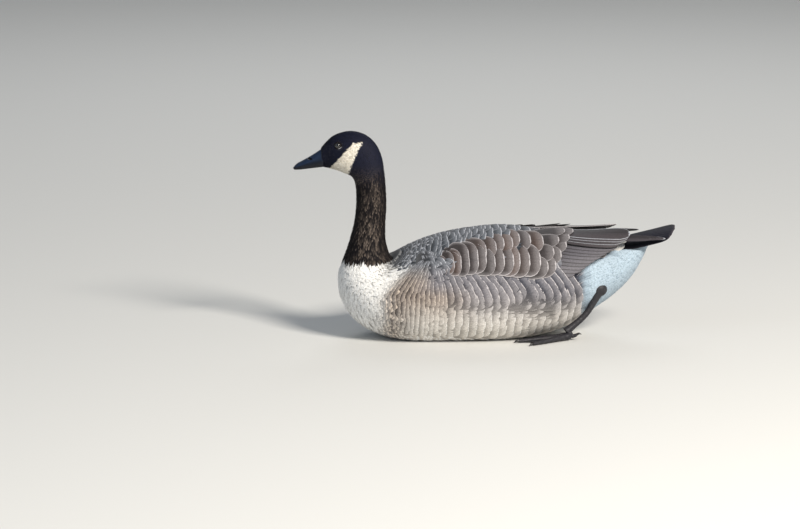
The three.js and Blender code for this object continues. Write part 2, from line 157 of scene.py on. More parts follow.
# the folded wing lies on a cloak: x, half width, mid height, top height
cloakRows = np.array([
    (-140, 92, 80, 147), (-90, 106, 80, 159), (-40, 113, 80, 168), (10, 114, 80, 172),
    (60, 110, 84, 172), (110, 98, 92, 173), (160, 79, 106, 173), (210, 60, 122, 175),
    (250, 59, 122, 179), (300, 63, 120, 183)], float)

tail = {
    "x": (214, 306.5), "z": (153, 172), "half": (27, 42), "inset": (6, 14), "sag": 13, "dip": 2.5,
    "axisShare": 0.6, "axisDrop": 80,
    "count": 16, "spread": 0.95, "width": 17, "stray": 0.01, "step": 1.2,
    # the white coverts over its root: where the first row lies and how far on the next ones
    "covertRows": 4, "covertFrom": -0.22, "covertNext": 0.08, "covertReach": 0.2,
    "covertWidth": 13, "covertTop": 3.2, "covertDrop": 0.4,
}


# The body's surface: t counts the stations, angle runs from the back to the belly.
def bodyPoint(t, angle):
    topX, topZ, underX, underZ, half, waist, square = np.moveaxis(along(stationRows, t), -1, 0)
    up = np.cos(angle)
    bend = np.where(up >= 0, 2, square)
    rise = waist + power(up, 2 / bend) * np.where(up >= 0, 1 - waist, waist)
    return np.stack([underX + rise * (topX - underX), half * power(np.sin(angle), 2 / bend),
                     underZ + rise * (topZ - underZ)], -1)


def bodyAxis(t, angle):
    row = along(stationRows, t)
    return np.stack([(row[..., 0] + row[..., 2]) / 2, 0 * row[..., 0],
                     (row[..., 1] + row[..., 3]) / 2], -1)


def cloakRow(x):
    return along(cloakRows, np.interp(x, cloakRows[:, 0], np.arange(len(cloakRows))))


def cloakPoint(x, degrees):
    _, half, mid, top = np.moveaxis(cloakRow(x), -1, 0)
    angle = np.radians(degrees)
    return np.stack([x + 0 * angle, half * np.sin(angle), mid + (top - mid) * np.cos(angle)], -1)


def cloakAxis(x, degrees):
    return np.stack([x + 0 * degrees, 0 * x + 0 * degrees, 0 * degrees + cloakRow(x)[..., 2]], -1)


def tailPoint(s, share):
    x = mix(tail["x"][0] - tail["inset"][0] * np.abs(share),
            tail["x"][1] - tail["inset"][1] * share ** 2, s)
    z = mix(*tail["z"], s) - tail["sag"] * share ** 2 + tail["dip"] * s * (s - 1)
    return np.stack([x, mix(*tail["half"], s) * share, z], -1)


def tailAxis(s, share):
    p = tailPoint(s, share)
    return np.stack([p[..., 0], tail["axisShare"] * p[..., 1], p[..., 2] - tail["axisDrop"]], -1)


bodySurface = {"point": bodyPoint, "axis": bodyAxis, "steps": (0.002, 0.002)}
cloakSurface = {"point": cloakPoint, "axis": cloakAxis, "steps": (0.4, 0.3)}
tailSurface = {"point": tailPoint, "axis": tailAxis, "steps": (0.01, 0.01)}
mirror = np.array([1, -1, 1])


def sided(surface, side):
    if side > 0:
        return surface
    return {"point": lambda u, v: surface["point"](u, v) * mirror,
            "axis": lambda u, v: surface["axis"](u, v) * mirror, "steps": surface["steps"]}


def tangents(surface, u, v):
    hu, hv = surface["steps"]
    point = surface["point"]
    alongU = (point(u + hu, v) - point(u - hu, v)) / (2 * hu)
    alongV = (point(u, v + hv) - point(u, v - hv)) / (2 * hv)
    return alongU, alongV


# The point, outward normal and both tangents of a surface.
def frameAt(surface, u, v):
    alongU, alongV = tangents(surface, u, v)
    here = surface["point"](u, v)
    normal = unit(np.cross(alongU, alongV))
    away = here - surface["axis"](u, v)
    normal = normal * np.where(np.sum(normal * away, -1, keepdims=True) < 0, -1, 1)
    return here, normal, alongU, alongV


# The step in (u, v) for a way given in millimetres along e1, the line of growing u, and e2.
def stepOver(alongU, alongV, normal, d1, d2):
    e1 = unit(alongU)
    e2 = np.cross(normal, e1)
    dv = d2 / np.sum(alongV * e2, -1)
    du = (d1 - dv * np.sum(alongV * e1, -1)) / np.linalg.norm(alongU, axis=-1)
    return du, dv


# Goes over a surface from (u, v) by a way in millimetres, turned away from +u.
def walk(surface, u, v, way, turn, steps=6):
    for _ in range(steps):
        _, normal, alongU, alongV = frameAt(surface, u, v)
        du, dv = stepOver(alongU, alongV, normal, way / steps * np.cos(turn), way / steps * np.sin(turn))
        u = u + du
        v = v + dv
    return u, v


# Faces of a sheet of rows by columns quads. A double sheet has its under side's points
# after the others and is closed around its border.
def sheetFaces(rows, columns, double):
    line = columns + 1
    last = rows * line
    faces = [(a, a + line, a + line + 1, a + 1)
             for i in range(rows) for a in range(i * line, i * line + columns)]
    if double:
        under = last + line
        faces += [tuple(k + under for k in reversed(f)) for f in faces]
        border = [*range(columns), *range(columns, last, line), *range(last + columns, last, -1),
                  *range(last, 0, -line)]
        faces += [(a, b, b + under, a + under) for a, b in zip(border, border[1:] + border[:1])]
    return faces


# Faces of a closed tube of rings, with a cap over the first and the last.
def tubeFaces(rings, count):
    faces = [(i + j, i + count + j, i + count + (j + 1) % count, i + (j + 1) % count)
             for i in range(0, (rings - 1) * count, count) for j in range(count)]
    return faces + [tuple(range(count)), tuple(range(rings * count - 1, (rings - 1) * count - 1, -1))]


# A feather's form: a grid from root to tip, its half width at each row, and its faces. A
# single one is flat below, a double one is a sheet with two sides.
def featherForm(rows, columns, neck=0.45, tipFrom=0.6, tipPower=2.0, double=False, endShare=0.12):
    s = np.array(rows, float)
    c = np.linspace(-1, 1, columns + 1)
    tip = np.clip((s - tipFrom) / (1 - tipFrom), 0, 1)
    rounded = np.maximum((1 - tip ** tipPower) ** (1 / tipPower), endShare)
    half = (neck + (1 - neck) * ease(s, 0, 0.45)) * rounded
    line = columns + 1
    last = (len(s) - 1) * line
    faces = sheetFaces(len(s) - 1, columns, double)
    if not double:
        faces += [(a, a + columns, a + columns + line, a + line) for a in range(0, last, line)]
        faces += [tuple(range(line)), tuple(range(last + columns, last - 1, -1))]
    form = {"rows": s, "columns": c, "rowHalf": half, "double": double, "faces": faces,
            "s": np.repeat(s, line), "c": np.tile(c, len(s)), "half": np.repeat(half, line)}
    form["map"] = np.tile(np.stack([form["c"] * 0.5 + 0.5, form["s"]], -1), (1 + double, 1))
    return form


tiny = featherForm([0, 0.4, 0.75, 1], 2, tipFrom=0.5)
small = featherForm([0, 0.3, 0.6, 0.85, 1], 2)
middling = featherForm([0, 0.25, 0.5, 0.7, 0.86, 0.95, 1], 4, tipFrom=0.58, tipPower=2.3)
square = featherForm([0, 0.25, 0.5, 0.7, 0.83, 0.92, 0.97, 1], 4, tipFrom=0.66, tipPower=3.0,
                     endShare=0.35)
broad = featherForm([0, 0.2, 0.4, 0.55, 0.68, 0.78, 0.86, 0.92, 0.96, 0.985, 1], 8, tipFrom=0.55,
                    tipPower=2.3, endShare=0.22)
longForm = featherForm(list(np.linspace(0, 0.84, 15)) + [0.9, 0.95, 0.98, 1], 6, neck=0.5,
                       tipFrom=0.84, tipPower=2.2, double=True, endShare=0.15)
shownAt = 0.65                  # a feather has the markings of this place on its length


def spreadOut(value, count):
    return np.broadcast_to(np.asarray(value, float), (count,))


# Lays feathers with their roots at (u, v), walking each one over the surface row by row.
# turn swings the lie away from +u, lift is the height over the surface at root and tip,
# camber the height of the shaft over the edges, tilt that of one edge over the other.
def layFeathers(surface, u, v, form, length, width, turn, lift, camber=0.1, tilt=0, rise=0.8):
    n = len(u)
    length, width, turn, lowLift, highLift, tilt = (
        spreadOut(k, n) for k in (length, width, turn, lift[0], lift[1], tilt))
    goU, goV = np.array(u, float), np.array(v, float)
    before = 0.0
    rows, spots = [], []
    shown = None
    c = form["columns"][None, :]
    for s, half in zip(form["rows"], form["rowHalf"]):
        goU, goV = walk(surface, goU, goV, length * (s - before), turn, 2)
        here, normal, alongU, alongV = frameAt(surface, goU, goV)
        before = s
        if shown is None and s >= shownAt:
            shown = (here, goU, goV)
        across = 0.5 * width[:, None] * half * c
        du, dv = stepOver(alongU[:, None], alongV[:, None], normal[:, None],
                          -across * np.sin(turn)[:, None], across * np.cos(turn)[:, None])
        point, out, _, _ = frameAt(surface, goU[:, None] + du, goV[:, None] + dv)
        spots.append((point, goU[:, None] + du, goV[:, None] + dv))
        height = (mix(lowLift, highLift, s ** rise)[:, None]
                  + camber * width[:, None] * half * (1 - c * c) + tilt[:, None] * c * half)
        rows.append(point + out * height[..., None])
    spots = [np.stack([row[k] for row in spots], 1) for k in range(3)]
    spots = [k.reshape((n, -1) + k.shape[3:]) for k in spots]
    return {"points": np.stack(rows, 1).reshape(n, -1, 3), "form": form, "shown": shown,
            "spots": spots, "u": u, "v": v}


# Lays long vanes: each runs from its root to its tip, both given as (u, v).
def layLong(surface, roots, tips, form, width, lift, camber, step=0, bow=0, thick=0.4, rise=1.0):
    roots, tips = np.array(roots, float), np.array(tips, float)
    width, lowLift, highLift, step, bow = (
        spreadOut(k, len(roots))[:, None] for k in (width, lift[0], lift[1], step, bow))
    s, c, half = (form[k][None, :] for k in ("s", "c", "half"))
    u = mix(roots[:, :1], tips[:, :1], s)
    v = mix(roots[:, 1:], tips[:, 1:], s) + 4 * bow * s * (1 - s)
    perV = np.linalg.norm(tangents(surface, u, v)[1], axis=-1)
    v = v + 0.5 * width * half * c / perV
    point, out, _, _ = frameAt(surface, u, v)
    height = mix(lowLift, highLift, s ** rise) + camber * width * half * (1 - c * c) + step * c * half
    points = point + out * height[..., None]
    if form["double"]:
        points = np.concatenate([points, point + out * (height - thick)[..., None]], 1)
    return {"points": points, "form": form, "u": roots[:, 0], "v": roots[:, 1]}


# Gives a batch its colours: ground at the middle, rim at the tip and edges, one of each a
# feather, with a small seeded difference from feather to feather. patch is the size of each
# feather's place in the bake map.
def dye(batch, ground, rim, difference=0.08, patch=0.003):
    n, m = batch["points"].shape[:2]
    tone = 1 + difference * rng.uniform(-1, 1, (n, 1, 1))
    for key, value, change in (("ground", ground, tone), ("rim", rim, 0.5 + 0.5 * tone)):
        value = np.asarray(value)
        value = value[:, None] if value.ndim == 2 else value
        batch[key] = np.clip(np.broadcast_to(value, (n, m, 3)) * change, 0, 1).reshape(-1, 3)
    batch["patch"] = patch
    return batch


def newPiece(name, points, faces):
    mesh = bpy.data.meshes.new(name)
    mesh.from_pydata((np.asarray(points).reshape(-1, 3) * mm).tolist(), [], faces)
    return addObject(name, mesh)


def writeValues(piece, name, values):
    layer = piece.data.attributes.new(name, "FLOAT", "POINT")
    layer.data.foreach_set("value", np.asarray(values, np.float32).ravel())


def writeColours(mesh, name, colours):
    rgba = np.concatenate([colours, np.ones((len(colours), 1))], 1)
    layer = mesh.attributes.new(name, "FLOAT_COLOR", "POINT")
    layer.data.foreach_set("color", rgba.astype(np.float32).ravel())


def writeMap(mesh, name, uv):
    layer = mesh.uv_layers.new(name=name)
    layer.data.foreach_set("uv", uv.astype(np.float32).ravel())


def select(*pieces):
    bpy.ops.object.select_all(action="DESELECT")
    for piece in pieces:
        piece.select_set(True)
    bpy.context.view_layer.objects.active = pieces[0]


# Runs mesh tools, each with its values, on all of the active piece.
def editAll(*tools):
    bpy.ops.object.mode_set(mode="EDIT")
    bpy.ops.mesh.select_all(action="SELECT")
    for tool, values in tools:
        tool(**values)
    bpy.ops.object.mode_set(mode="OBJECT")


def outwardFaces(piece):
    select(piece)
    editAll((bpy.ops.mesh.normals_make_consistent, {"inside": False}))


def joinPieces(name, pieces):
    select(*pieces)
    bpy.ops.object.join()
    pieces[0].name = name
    return pieces[0]


def smoothByAngle(piece, degrees=50):
    select(piece)
    bpy.ops.object.shade_smooth_by_angle(angle=math.radians(degrees))


def finishPiece(piece, material, slotName, *nodes):
    piece.data.materials.clear()
    piece.data.materials.append(material)
    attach(piece, "root")
    if nodes:
        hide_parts(*nodes)


# Joins batches of feathers into one mesh, with the maps and attributes that the materials
# and the bake read. unwrap gives a feather's place in the bake map where it has none yet.
def coatPiece(name, batches, unwrap=None):
    points, vertexOf, totals, vane, bake = [], [], [], [], []
    base = 0
    for batch in batches:
        form = batch["form"]
        n, m = batch["points"].shape[:2]
        order = -1 if batch.get("mirrored") else 1
        flat = np.concatenate([np.array(f[::order]) for f in form["faces"]])
        points.append(batch["points"].reshape(-1, 3))
        vertexOf.append((base + np.arange(n)[:, None] * m + flat[None, :]).ravel())
        totals.append(np.tile([len(f) for f in form["faces"]], n))
        vane.append(np.tile(form["map"], (n, 1)))
        place = batch["place"] if unwrap is None else unwrap(batch["u"], batch["v"])
        bake.append((place[:, None] + (form["map"] - 0.5) * batch["patch"]).reshape(-1, 2))
        base += n * m
    points, vertexOf, totals, vane, bake = (
        np.concatenate(k) for k in (points, vertexOf, totals, vane, bake))
    points[:, 2] = np.maximum(points[:, 2], floorGap["coat"])
    mesh = bpy.data.meshes.new(name)
    mesh.vertices.add(len(points))
    mesh.vertices.foreach_set("co", (points * mm).astype(np.float32).ravel())
    mesh.loops.add(len(vertexOf))
    mesh.loops.foreach_set("vertex_index", vertexOf.astype(np.int32))
    mesh.polygons.add(len(totals))
    starts = np.concatenate([[0], np.cumsum(totals)[:-1]])
    mesh.polygons.foreach_set("loop_start", starts.astype(np.int32))
    mesh.update(calc_edges=True)
    writeMap(mesh, "OFBake", bake[vertexOf])
    writeMap(mesh, "vane", vane[vertexOf])
    for field in ("ground", "rim"):
        writeColours(mesh, field, np.concatenate([batch[field] for batch in batches]))
    piece = addObject(name, mesh)
    smoothByAngle(piece)
    print(name, "feathers", sum(len(b["u"]) for b in batches),
          "triangles", int(np.sum(totals - 2)))
    return piece


# colours, given in sRGB and turned into the linear values of the materials
def srgb(red, green, blue):
    values = np.array([red, green, blue], float) / 255
    return np.where(values <= 0.04045, values / 12.92, ((values + 0.055) / 1.055) ** 2.4)


plumage = {name: srgb(*colour) for name, colour in {
    # ink: the head's black with a blue tint of painted sheen
    "ink": (15, 18, 35), "inkWarm": (19, 16, 18), "inkTip": (108, 97, 88),
    "snow": (236, 235, 232), "cheek": (208, 200, 183), "belly": (214, 208, 200),
    # the vent is white, painted blue-grey as in shade
    "ventWhiteInShade": (150, 167, 181), "ventTipInShade": (162, 179, 192),
    "brown": (55, 50, 51), "rust": (86, 66, 56), "grey": (102, 93, 90),
    # flankRearShade: the flank's brown painted darker and bluer as shade towards the rear
    "flank": (74, 74, 83), "flankRearShade": (50, 54, 68),
    "flankLow": (108, 96, 90), "flankPale": (112, 109, 114),
    "softGrey": (196, 192, 192), "slate": (54, 60, 68), "buff": (204, 190, 175),
    "fringe": (172, 175, 182), "paleFringe": (172, 168, 170),
    "quill": (40, 36, 38), "tertial": (60, 55, 58), "secondary": (86, 84, 90),
    "primary": (50, 46, 51), "tail": (19, 19, 29),
}.items()}


# materials

def node(tree, kind, **values):
    made = tree.nodes.new(kind)
    made.location = (180 * len(tree.nodes) - 2000, 0)
    for key, value in values.items():
        setattr(made, key, value)
    return made


def fill(tree, socket, value):
    if isinstance(value, bpy.types.NodeSocket):
        tree.links.new(value, socket)
    else:
        socket.default_value = value


def maths(tree, operation, *inputs):
    made = node(tree, "ShaderNodeMath", operation=operation)
    for i, value in enumerate(inputs):
        fill(tree, made.inputs[i], value)
    return made.outputs[0]


def step(tree, value, low, high):
    made = node(tree, "ShaderNodeMapRange", interpolation_type="SMOOTHSTEP")
    for name, given in (("Value", value), ("From Min", low), ("From Max", high)):
        fill(tree, made.inputs[name], given)
    return made.outputs["Result"]


def grey(tree, value):
    made = node(tree, "ShaderNodeCombineColor")
    for i in range(3):
        tree.links.new(value, made.inputs[i])
    return made.outputs[0]


def blendColour(tree, factor, first, second, mode="MIX"):
    made = node(tree, "ShaderNodeMix", data_type="RGBA", blend_type=mode)
    for i, value in ((0, factor), (6, first), (7, second)):
        fill(tree, made.inputs[i], value)
    return made.outputs[2]


def attribute(tree, name, output="Fac"):
    return node(tree, "ShaderNodeAttribute", attribute_name=name).outputs[output]


def texture(tree, kind, output, scale, detail=None, **values):
    made = node(tree, kind, **values)
    made.inputs["Scale"].default_value = scale
    if detail is not None:
        made.inputs["Detail"].default_value = detail
    tree.links.new(node(tree, "ShaderNodeTexCoord").outputs["Object"], made.inputs["Vector"])
    return made.outputs[output]


def noise(tree, scale, detail=2):
    return texture(tree, "ShaderNodeTexNoise", "Fac", scale, detail)


def newMaterial(name, **values):
    material = bpy.data.materials.new(name)
    material.use_nodes = True
    shader = material.node_tree.nodes["Principled BSDF"]
    for key, value in values.items():
        shader.inputs[key].default_value = value
    return material, material.node_tree, shader


# Adds a bump over any that the shader already has.
def addBump(tree, shader, height, strength, distance=0.0002):
    made = node(tree, "ShaderNodeBump")
    made.inputs["Strength"].default_value = strength
    made.inputs["Distance"].default_value = distance
    tree.links.new(height, made.inputs["Height"])
    for link in shader.inputs["Normal"].links:
        tree.links.new(link.from_socket, made.inputs["Normal"])
    tree.links.new(made.outputs[0], shader.inputs["Normal"])


# Blends a colour over the base colour, as far as an attribute says.
def tintBy(tree, shader, name, tint):
    colour = shader.inputs["Base Color"]
    plain = colour.links[0].from_socket
    tree.links.new(blendColour(tree, attribute(tree, name), plain, tint), colour)


# The vane group: from the feather's own map it draws the pale rim, the shaft and the barbs,
# and painted shade towards the root, under the overlapping feather, and along the tucked edge.
vaneInputs = {
    "Rim from": 0.8, "Rim soft": 0.06, "Edge from": 0.75, "Edge share": 0.6, "Halo": 0.0,
    # Shade: painted shade towards the root, where the feather above overlaps it; Side: painted shade along
    # the upper edge, tucked under the neighbour
    "Shade low": 0.3, "Shade high": 0.7, "Shade depth": 0.25,
    "Side low": 0.3, "Side high": 0.6, "Side depth": 0.0,
    "Barbs": 40.0, "Barb depth": 0.15, "Shaft": 0.3, "Torn": 0.09,
}
vaneLook = {
    "tear": (260, 3), "grain": (480, 4),        # scale and detail of two noises
    "halo": 0.25, "slant": -0.35, "shaft": (0.02, 0.09), "barbTone": 0.6, "shaftHeight": 1.5,
}


def makeVaneGroup():
    group = bpy.data.node_groups.new("vanePattern", "ShaderNodeTree")
    face = group.interface
    for name, value in vaneInputs.items():
        face.new_socket(name, in_out="INPUT", socket_type="NodeSocketFloat").default_value = value
    for name in ("Ground", "Rim"):
        face.new_socket(name, in_out="INPUT", socket_type="NodeSocketColor")
    face.new_socket("Colour", in_out="OUTPUT", socket_type="NodeSocketColor")
    face.new_socket("Height", in_out="OUTPUT", socket_type="NodeSocketFloat")

    def calc(operation, *inputs):
        return maths(group, operation, *inputs)

    given = node(group, "NodeGroupInput").outputs
    split = node(group, "ShaderNodeSeparateXYZ")
    group.links.new(node(group, "ShaderNodeUVMap", uv_map="vane").outputs[0], split.inputs[0])
    side, reach = split.outputs[0], split.outputs[1]
    across = calc("ABSOLUTE", calc("MULTIPLY_ADD", side, 2, -1))
    torn = calc("MULTIPLY", calc("SUBTRACT", noise(group, *vaneLook["tear"]), 0.5), given["Torn"])
    tipWay, edgeWay = calc("ADD", reach, torn), calc("ADD", across, torn)
    masks = []
    for value, low, share in ((tipWay, "Rim from", 1.0), (edgeWay, "Edge from", given["Edge share"])):
        near = step(group, value, given[low], calc("ADD", given[low], given["Rim soft"]))
        halo = step(group, value, calc("SUBTRACT", given[low], vaneLook["halo"]), given[low])
        both = calc("MAXIMUM", near, calc("MULTIPLY", halo, given["Halo"]))
        masks.append(calc("MULTIPLY", both, share))
    shades = []
    # painted shade: darker towards the root and along the tucked upper edge
    for value, name in ((tipWay, "Shade"), (side, "Side")):
        dark = calc("SUBTRACT", 1, step(group, value, given[name + " low"], given[name + " high"]))
        shades.append(calc("SUBTRACT", 1, calc("MULTIPLY", dark, given[name + " depth"])))
    grain = calc("ADD", noise(group, *vaneLook["grain"]), 0.5)
    slant = calc("MULTIPLY_ADD", across, vaneLook["slant"], reach)
    turns = calc("MULTIPLY", given["Barbs"], 2 * math.pi)
    barb = calc("MULTIPLY", calc("SINE", calc("MULTIPLY", slant, turns)), given["Barb depth"])
    shaft = calc("SUBTRACT", 1, step(group, across, *vaneLook["shaft"]))
    shaded = grey(group, calc("MULTIPLY", *shades))
    darkened = blendColour(group, 1.0, given["Ground"], shaded, "MULTIPLY")
    base = blendColour(group, calc("MAXIMUM", *masks), darkened, given["Rim"])
    fine = calc("SUBTRACT", calc("MULTIPLY_ADD", barb, vaneLook["barbTone"], grain),
                calc("MULTIPLY", shaft, given["Shaft"]))
    result = node(group, "NodeGroupOutput").inputs
    group.links.new(blendColour(group, 1.0, base, grey(group, fine), "MULTIPLY"), result["Colour"])
    group.links.new(calc("MULTIPLY_ADD", shaft, vaneLook["shaftHeight"], barb), result["Height"])
    return group


# what each coat's vanes have of their own: roughness, sheen, gloss and the group's inputs
featherLooks = {
    "head": (0.7, 0.0, 0.16, {"Edge share": 0.2}),
    "neck": (0.75, 0.0, 0.14, {
        "Edge share": 0.15, "Rim from": 0.6, "Rim soft": 0.35, "Shaft": 0.0}),
    "body": (0.8, 0.05, 0.35, {
        "Edge share": 0.4, "Shade low": 0.45, "Shade high": 0.85, "Shade depth": 0.1}),
    "flank": (0.8, 0.05, 0.35, {
        "Rim from": 0.95, "Rim soft": 0.04, "Edge from": 0.93, "Edge share": 0.1, "Halo": 0.3,
        "Shade low": 0.6, "Shade high": 0.96, "Shade depth": 0.5, "Shaft": 0.1, "Torn": 0.1}),
    "mantle": (0.75, 0.05, 0.35, {
        "Rim from": 0.94, "Rim soft": 0.04, "Edge from": 0.93, "Edge share": 0.6, "Halo": 0.2,
        "Shade low": 0.55, "Shade high": 0.9, "Shade depth": 0.5, "Shaft": 0.1, "Torn": 0.04}),
    "scapular": (0.7, 0.05, 0.35, {
        "Rim from": 0.955, "Rim soft": 0.025, "Edge from": 0.93, "Edge share": 0.75, "Halo": 0.28,
        "Shade low": 0.6, "Shade high": 0.85, "Shade depth": 0.4, "Shaft": 0.12, "Torn": 0.06}),
    "wing": (0.6, 0.05, 0.35, {
        "Rim from": 0.98, "Rim soft": 0.015, "Edge from": 0.9, "Edge share": 0.7,
        "Side low": 0.35, "Side high": 0.8, "Side depth": 0.5, "Shaft": 0.25, "Torn": 0.03}),
    "tail": (0.65, 0.0, 0.16, {
        "Rim from": 0.95, "Edge from": 0.92, "Side low": 0.3, "Side high": 0.7, "Side depth": 0.3}),
}


def featherMaterial(name, group, roughness, sheen, gloss, values):
    material, tree, shader = newMaterial(name, **{
        "Roughness": roughness, "Sheen Weight": sheen, "Sheen Roughness": 0.5,
        "Specular IOR Level": gloss})
    vane = node(tree, "ShaderNodeGroup", node_tree=group)
    for key, value in values.items():
        vane.inputs[key].default_value = value
    for source, socket in (("ground", "Ground"), ("rim", "Rim")):
        tree.links.new(attribute(tree, source, "Color"), vane.inputs[socket])
    tree.links.new(vane.outputs["Colour"], shader.inputs["Base Color"])
    addBump(tree, shader, vane.outputs["Height"], 0.3)
    return material


vaneGroup = makeVaneGroup()
feathers = {name: featherMaterial(name + "Feathers", vaneGroup, *look)
            for name, look in featherLooks.items()}


# Skin-like horn: mottled, with a fine grain.
def hornMaterial(name, base, roughness, scale=900, bump=0.25, **values):
    material, tree, shader = newMaterial(name, **values)
    fine, mottle = noise(tree, scale, 6), noise(tree, 90)
    dark, light = (tuple(base * k) + (1,) for k in (0.75, 1.3))
    mottled = blendColour(tree, mottle, dark, light)
    tree.links.new(blendColour(tree, maths(tree, "MULTIPLY", fine, 0.35), mottled, dark),
                   shader.inputs["Base Color"])
    tree.links.new(maths(tree, "MULTIPLY_ADD", mottle, 0.2, roughness - 0.1),
                   shader.inputs["Roughness"])
    addBump(tree, shader, fine, bump)
    return material, tree, shader


# Markings: how much of each colour a place on the bird has, from its place in millimetres.
cheekPatch = {
    "front": ((264, 275.5, 291.7, 303.9, 312, 317), (-250, -247, -233, -222, -215, -210)),
    "rear": ((264, 273.2, 280.5, 291.3, 303.6, 310, 315.1, 318.6),
             (-219, -215.7, -214.3, -209.3, -204.2, -199.5, -196.5, -200.6)),
    "top": 315, "topSlope": 0.9, "soft": 0.7, "waveX": (3.1, 0.4), "waveZ": (2.7, 0.3),
}


def wobble(p, size, amount):
    return amount * (np.sin(p[..., 0] / size * 1.7 + 1.3 * np.sin(p[..., 2] / size))
                     + np.sin(p[..., 2] / size * 2.1 + 2.0 * np.sin(p[..., 1] / size * 0.9))) * 0.5


def cheekShare(p):
    x = p[..., 0] + wobble(p, *cheekPatch["waveX"])
    z = p[..., 2] + wobble(p[..., ::-1], *cheekPatch["waveZ"])
    inside = np.minimum(x - read(cheekPatch["front"], z), read(cheekPatch["rear"], z) - x)
    inside = np.minimum(inside, (cheekPatch["top"] - z) * cheekPatch["topSlope"])
    return ease(inside, -cheekPatch["soft"], cheekPatch["soft"])


# Bars of the flank: each runs from its foot at the water line up under the wing. lean is how
# far its top lies ahead of the foot, so the bars fan out from the shoulder.
bars = {
    "lean": ((-215, -186, -171, -146, -120, -90, -71, -57, -23, 0, 112, 150),
             (-66, -60, -53, -36, -21, 0, 11, 18, 32, 35, 38, 34)),
    "waterLine": 75, "high": 50, "highest": 1.15, "curl": 1.5,
}


def barRise(z):
    return np.clip((z - bars["waterLine"]) / bars["high"], 0, bars["highest"]) ** bars["curl"]


def barX(foot, z):
    return foot - read(bars["lean"], foot) * barRise(z)


def barFoot(x, z):
    foot = x
    for _ in range(6):
        foot = x + read(bars["lean"], foot) * barRise(z)
    return foot


# Where the body's colours give way to each other: what is measured, where the second colour
# begins and where it is whole. foot is the foot of a bar, angle is in degrees from the back.
zones = {
    "warm": ("z", 285, 230), "collarTop": ("angle", 50, 10),
    "sides": ("foot", -192, -150), "offBelly": ("angle", 172, 140),
    # rear: where the painted shade of the rear flank sets in
    "grown": ("foot", -135, -80), "rear": ("foot", 15, 75), "edged": ("foot", -185, -150),
    "low": ("z", 104, 70), "lowFrom": ("foot", -160, -120), "lowTo": ("foot", 30, 100),
    "hind": ("foot", -90, -10),
    "back": ("angle", 76, 48), "backFrom": ("x", -160, -115),
    "shoulder": ("z", 119, 126), "offFlank": ("angle", 92, 74),
    "under": ("z", 84, 18), "underFrom": ("foot", -170, -110),
    "vent": ("x", 148, 153), "offRump": ("angle", 25, 40), "ventWhole": ("x", 200, 206),
    "rump": ("x", 110, 130), "rumpTo": ("x", 198, 204), "onTop": ("angle", 45, 30),
}
collar = {
    "t": list(bodyStations).index("collar") + 0.05, "topDrop": 0.3, "soft": 0.1,
    "ripple": (0.04, 7), "wave": (5, 0.06), "barWave": (9, 4),
    "torsoFrom": 14.5, "headTo": 10, "tipLight": 1.2, "lowFade": 0.6, "slateShare": 0.85,
}


def markings(p, t, angle):
    degrees = np.abs(np.degrees((angle + np.pi) % (2 * np.pi) - np.pi))
    measures = {"x": p[..., 0], "z": p[..., 2], "angle": degrees,
                "foot": barFoot(p[..., 0], p[..., 2]) + wobble(p, *collar["barWave"])}
    share = {name: ease(measures[what], low, high)[..., None]
             for name, (what, low, high) in zones.items()}
    size, waves = collar["ripple"]
    border = (collar["t"] + collar["topDrop"] * share["collarTop"][..., 0]
              + size * np.sin(angle * waves) + wobble(p, *collar["wave"]))
    ink = (1 - ease(t, border - collar["soft"], border + collar["soft"]))[..., None]
    torso = (t > collar["torsoFrom"])[..., None]
    sides = share["sides"] * share["offBelly"] * torso
    low = share["low"] * share["lowFrom"] * (1 - collar["lowFade"] * share["lowTo"])
    upper = np.maximum(share["back"] * share["backFrom"], share["shoulder"] * share["offFlank"]) * torso
    under = share["under"] * share["underFrom"]
    vent = np.maximum(share["vent"] * share["offRump"], share["ventWhole"])
    rump = share["rump"] * (1 - share["rumpTo"]) * share["onTop"]
    cheek = cheekShare(p)[..., None] * (t < collar["headTo"])[..., None]

    def blend(first, second, name):
        return mix(plumage[first], plumage[second], share[name])

    # from white breast and brown sides, painted darker and bluer as shade towards the rear, to slate back,
    # pale belly, a white vent painted blue-grey as in shade, and dark rump
    ground = mix(plumage["snow"], mix(blend("grey", "flank", "grown"), plumage["flankRearShade"],
                                      share["rear"]), sides)
    rim = mix(plumage["snow"], blend("buff", "paleFringe", "grown"), share["edged"])
    black = blend("ink", "inkWarm", "warm")
    blackTip = mix(black * collar["tipLight"], plumage["inkTip"], share["warm"])
    # each layer's part of the body, its strength there, and its colours at middle and rim
    layers = (
        (low, 1, blend("flankLow", "flankPale", "hind"), blend("buff", "softGrey", "hind")),
        (upper, collar["slateShare"], plumage["slate"], plumage["fringe"]),
        (under, 1, plumage["belly"], plumage["snow"]),
        (vent, 1, plumage["ventWhiteInShade"], plumage["ventTipInShade"]),
        (rump, 1, plumage["tail"], plumage["quill"]),
        (ink, 1, black, blackTip),
        (cheek, 1, plumage["cheek"], plumage["snow"]),
    )
    for part, strength, middle, edge in layers:
        ground = mix(ground, middle, part * strength)
        rim = mix(rim, edge, part)
    return ground, rim


# skin: one closed body under the coat, down to the thickness that the coat has at each station

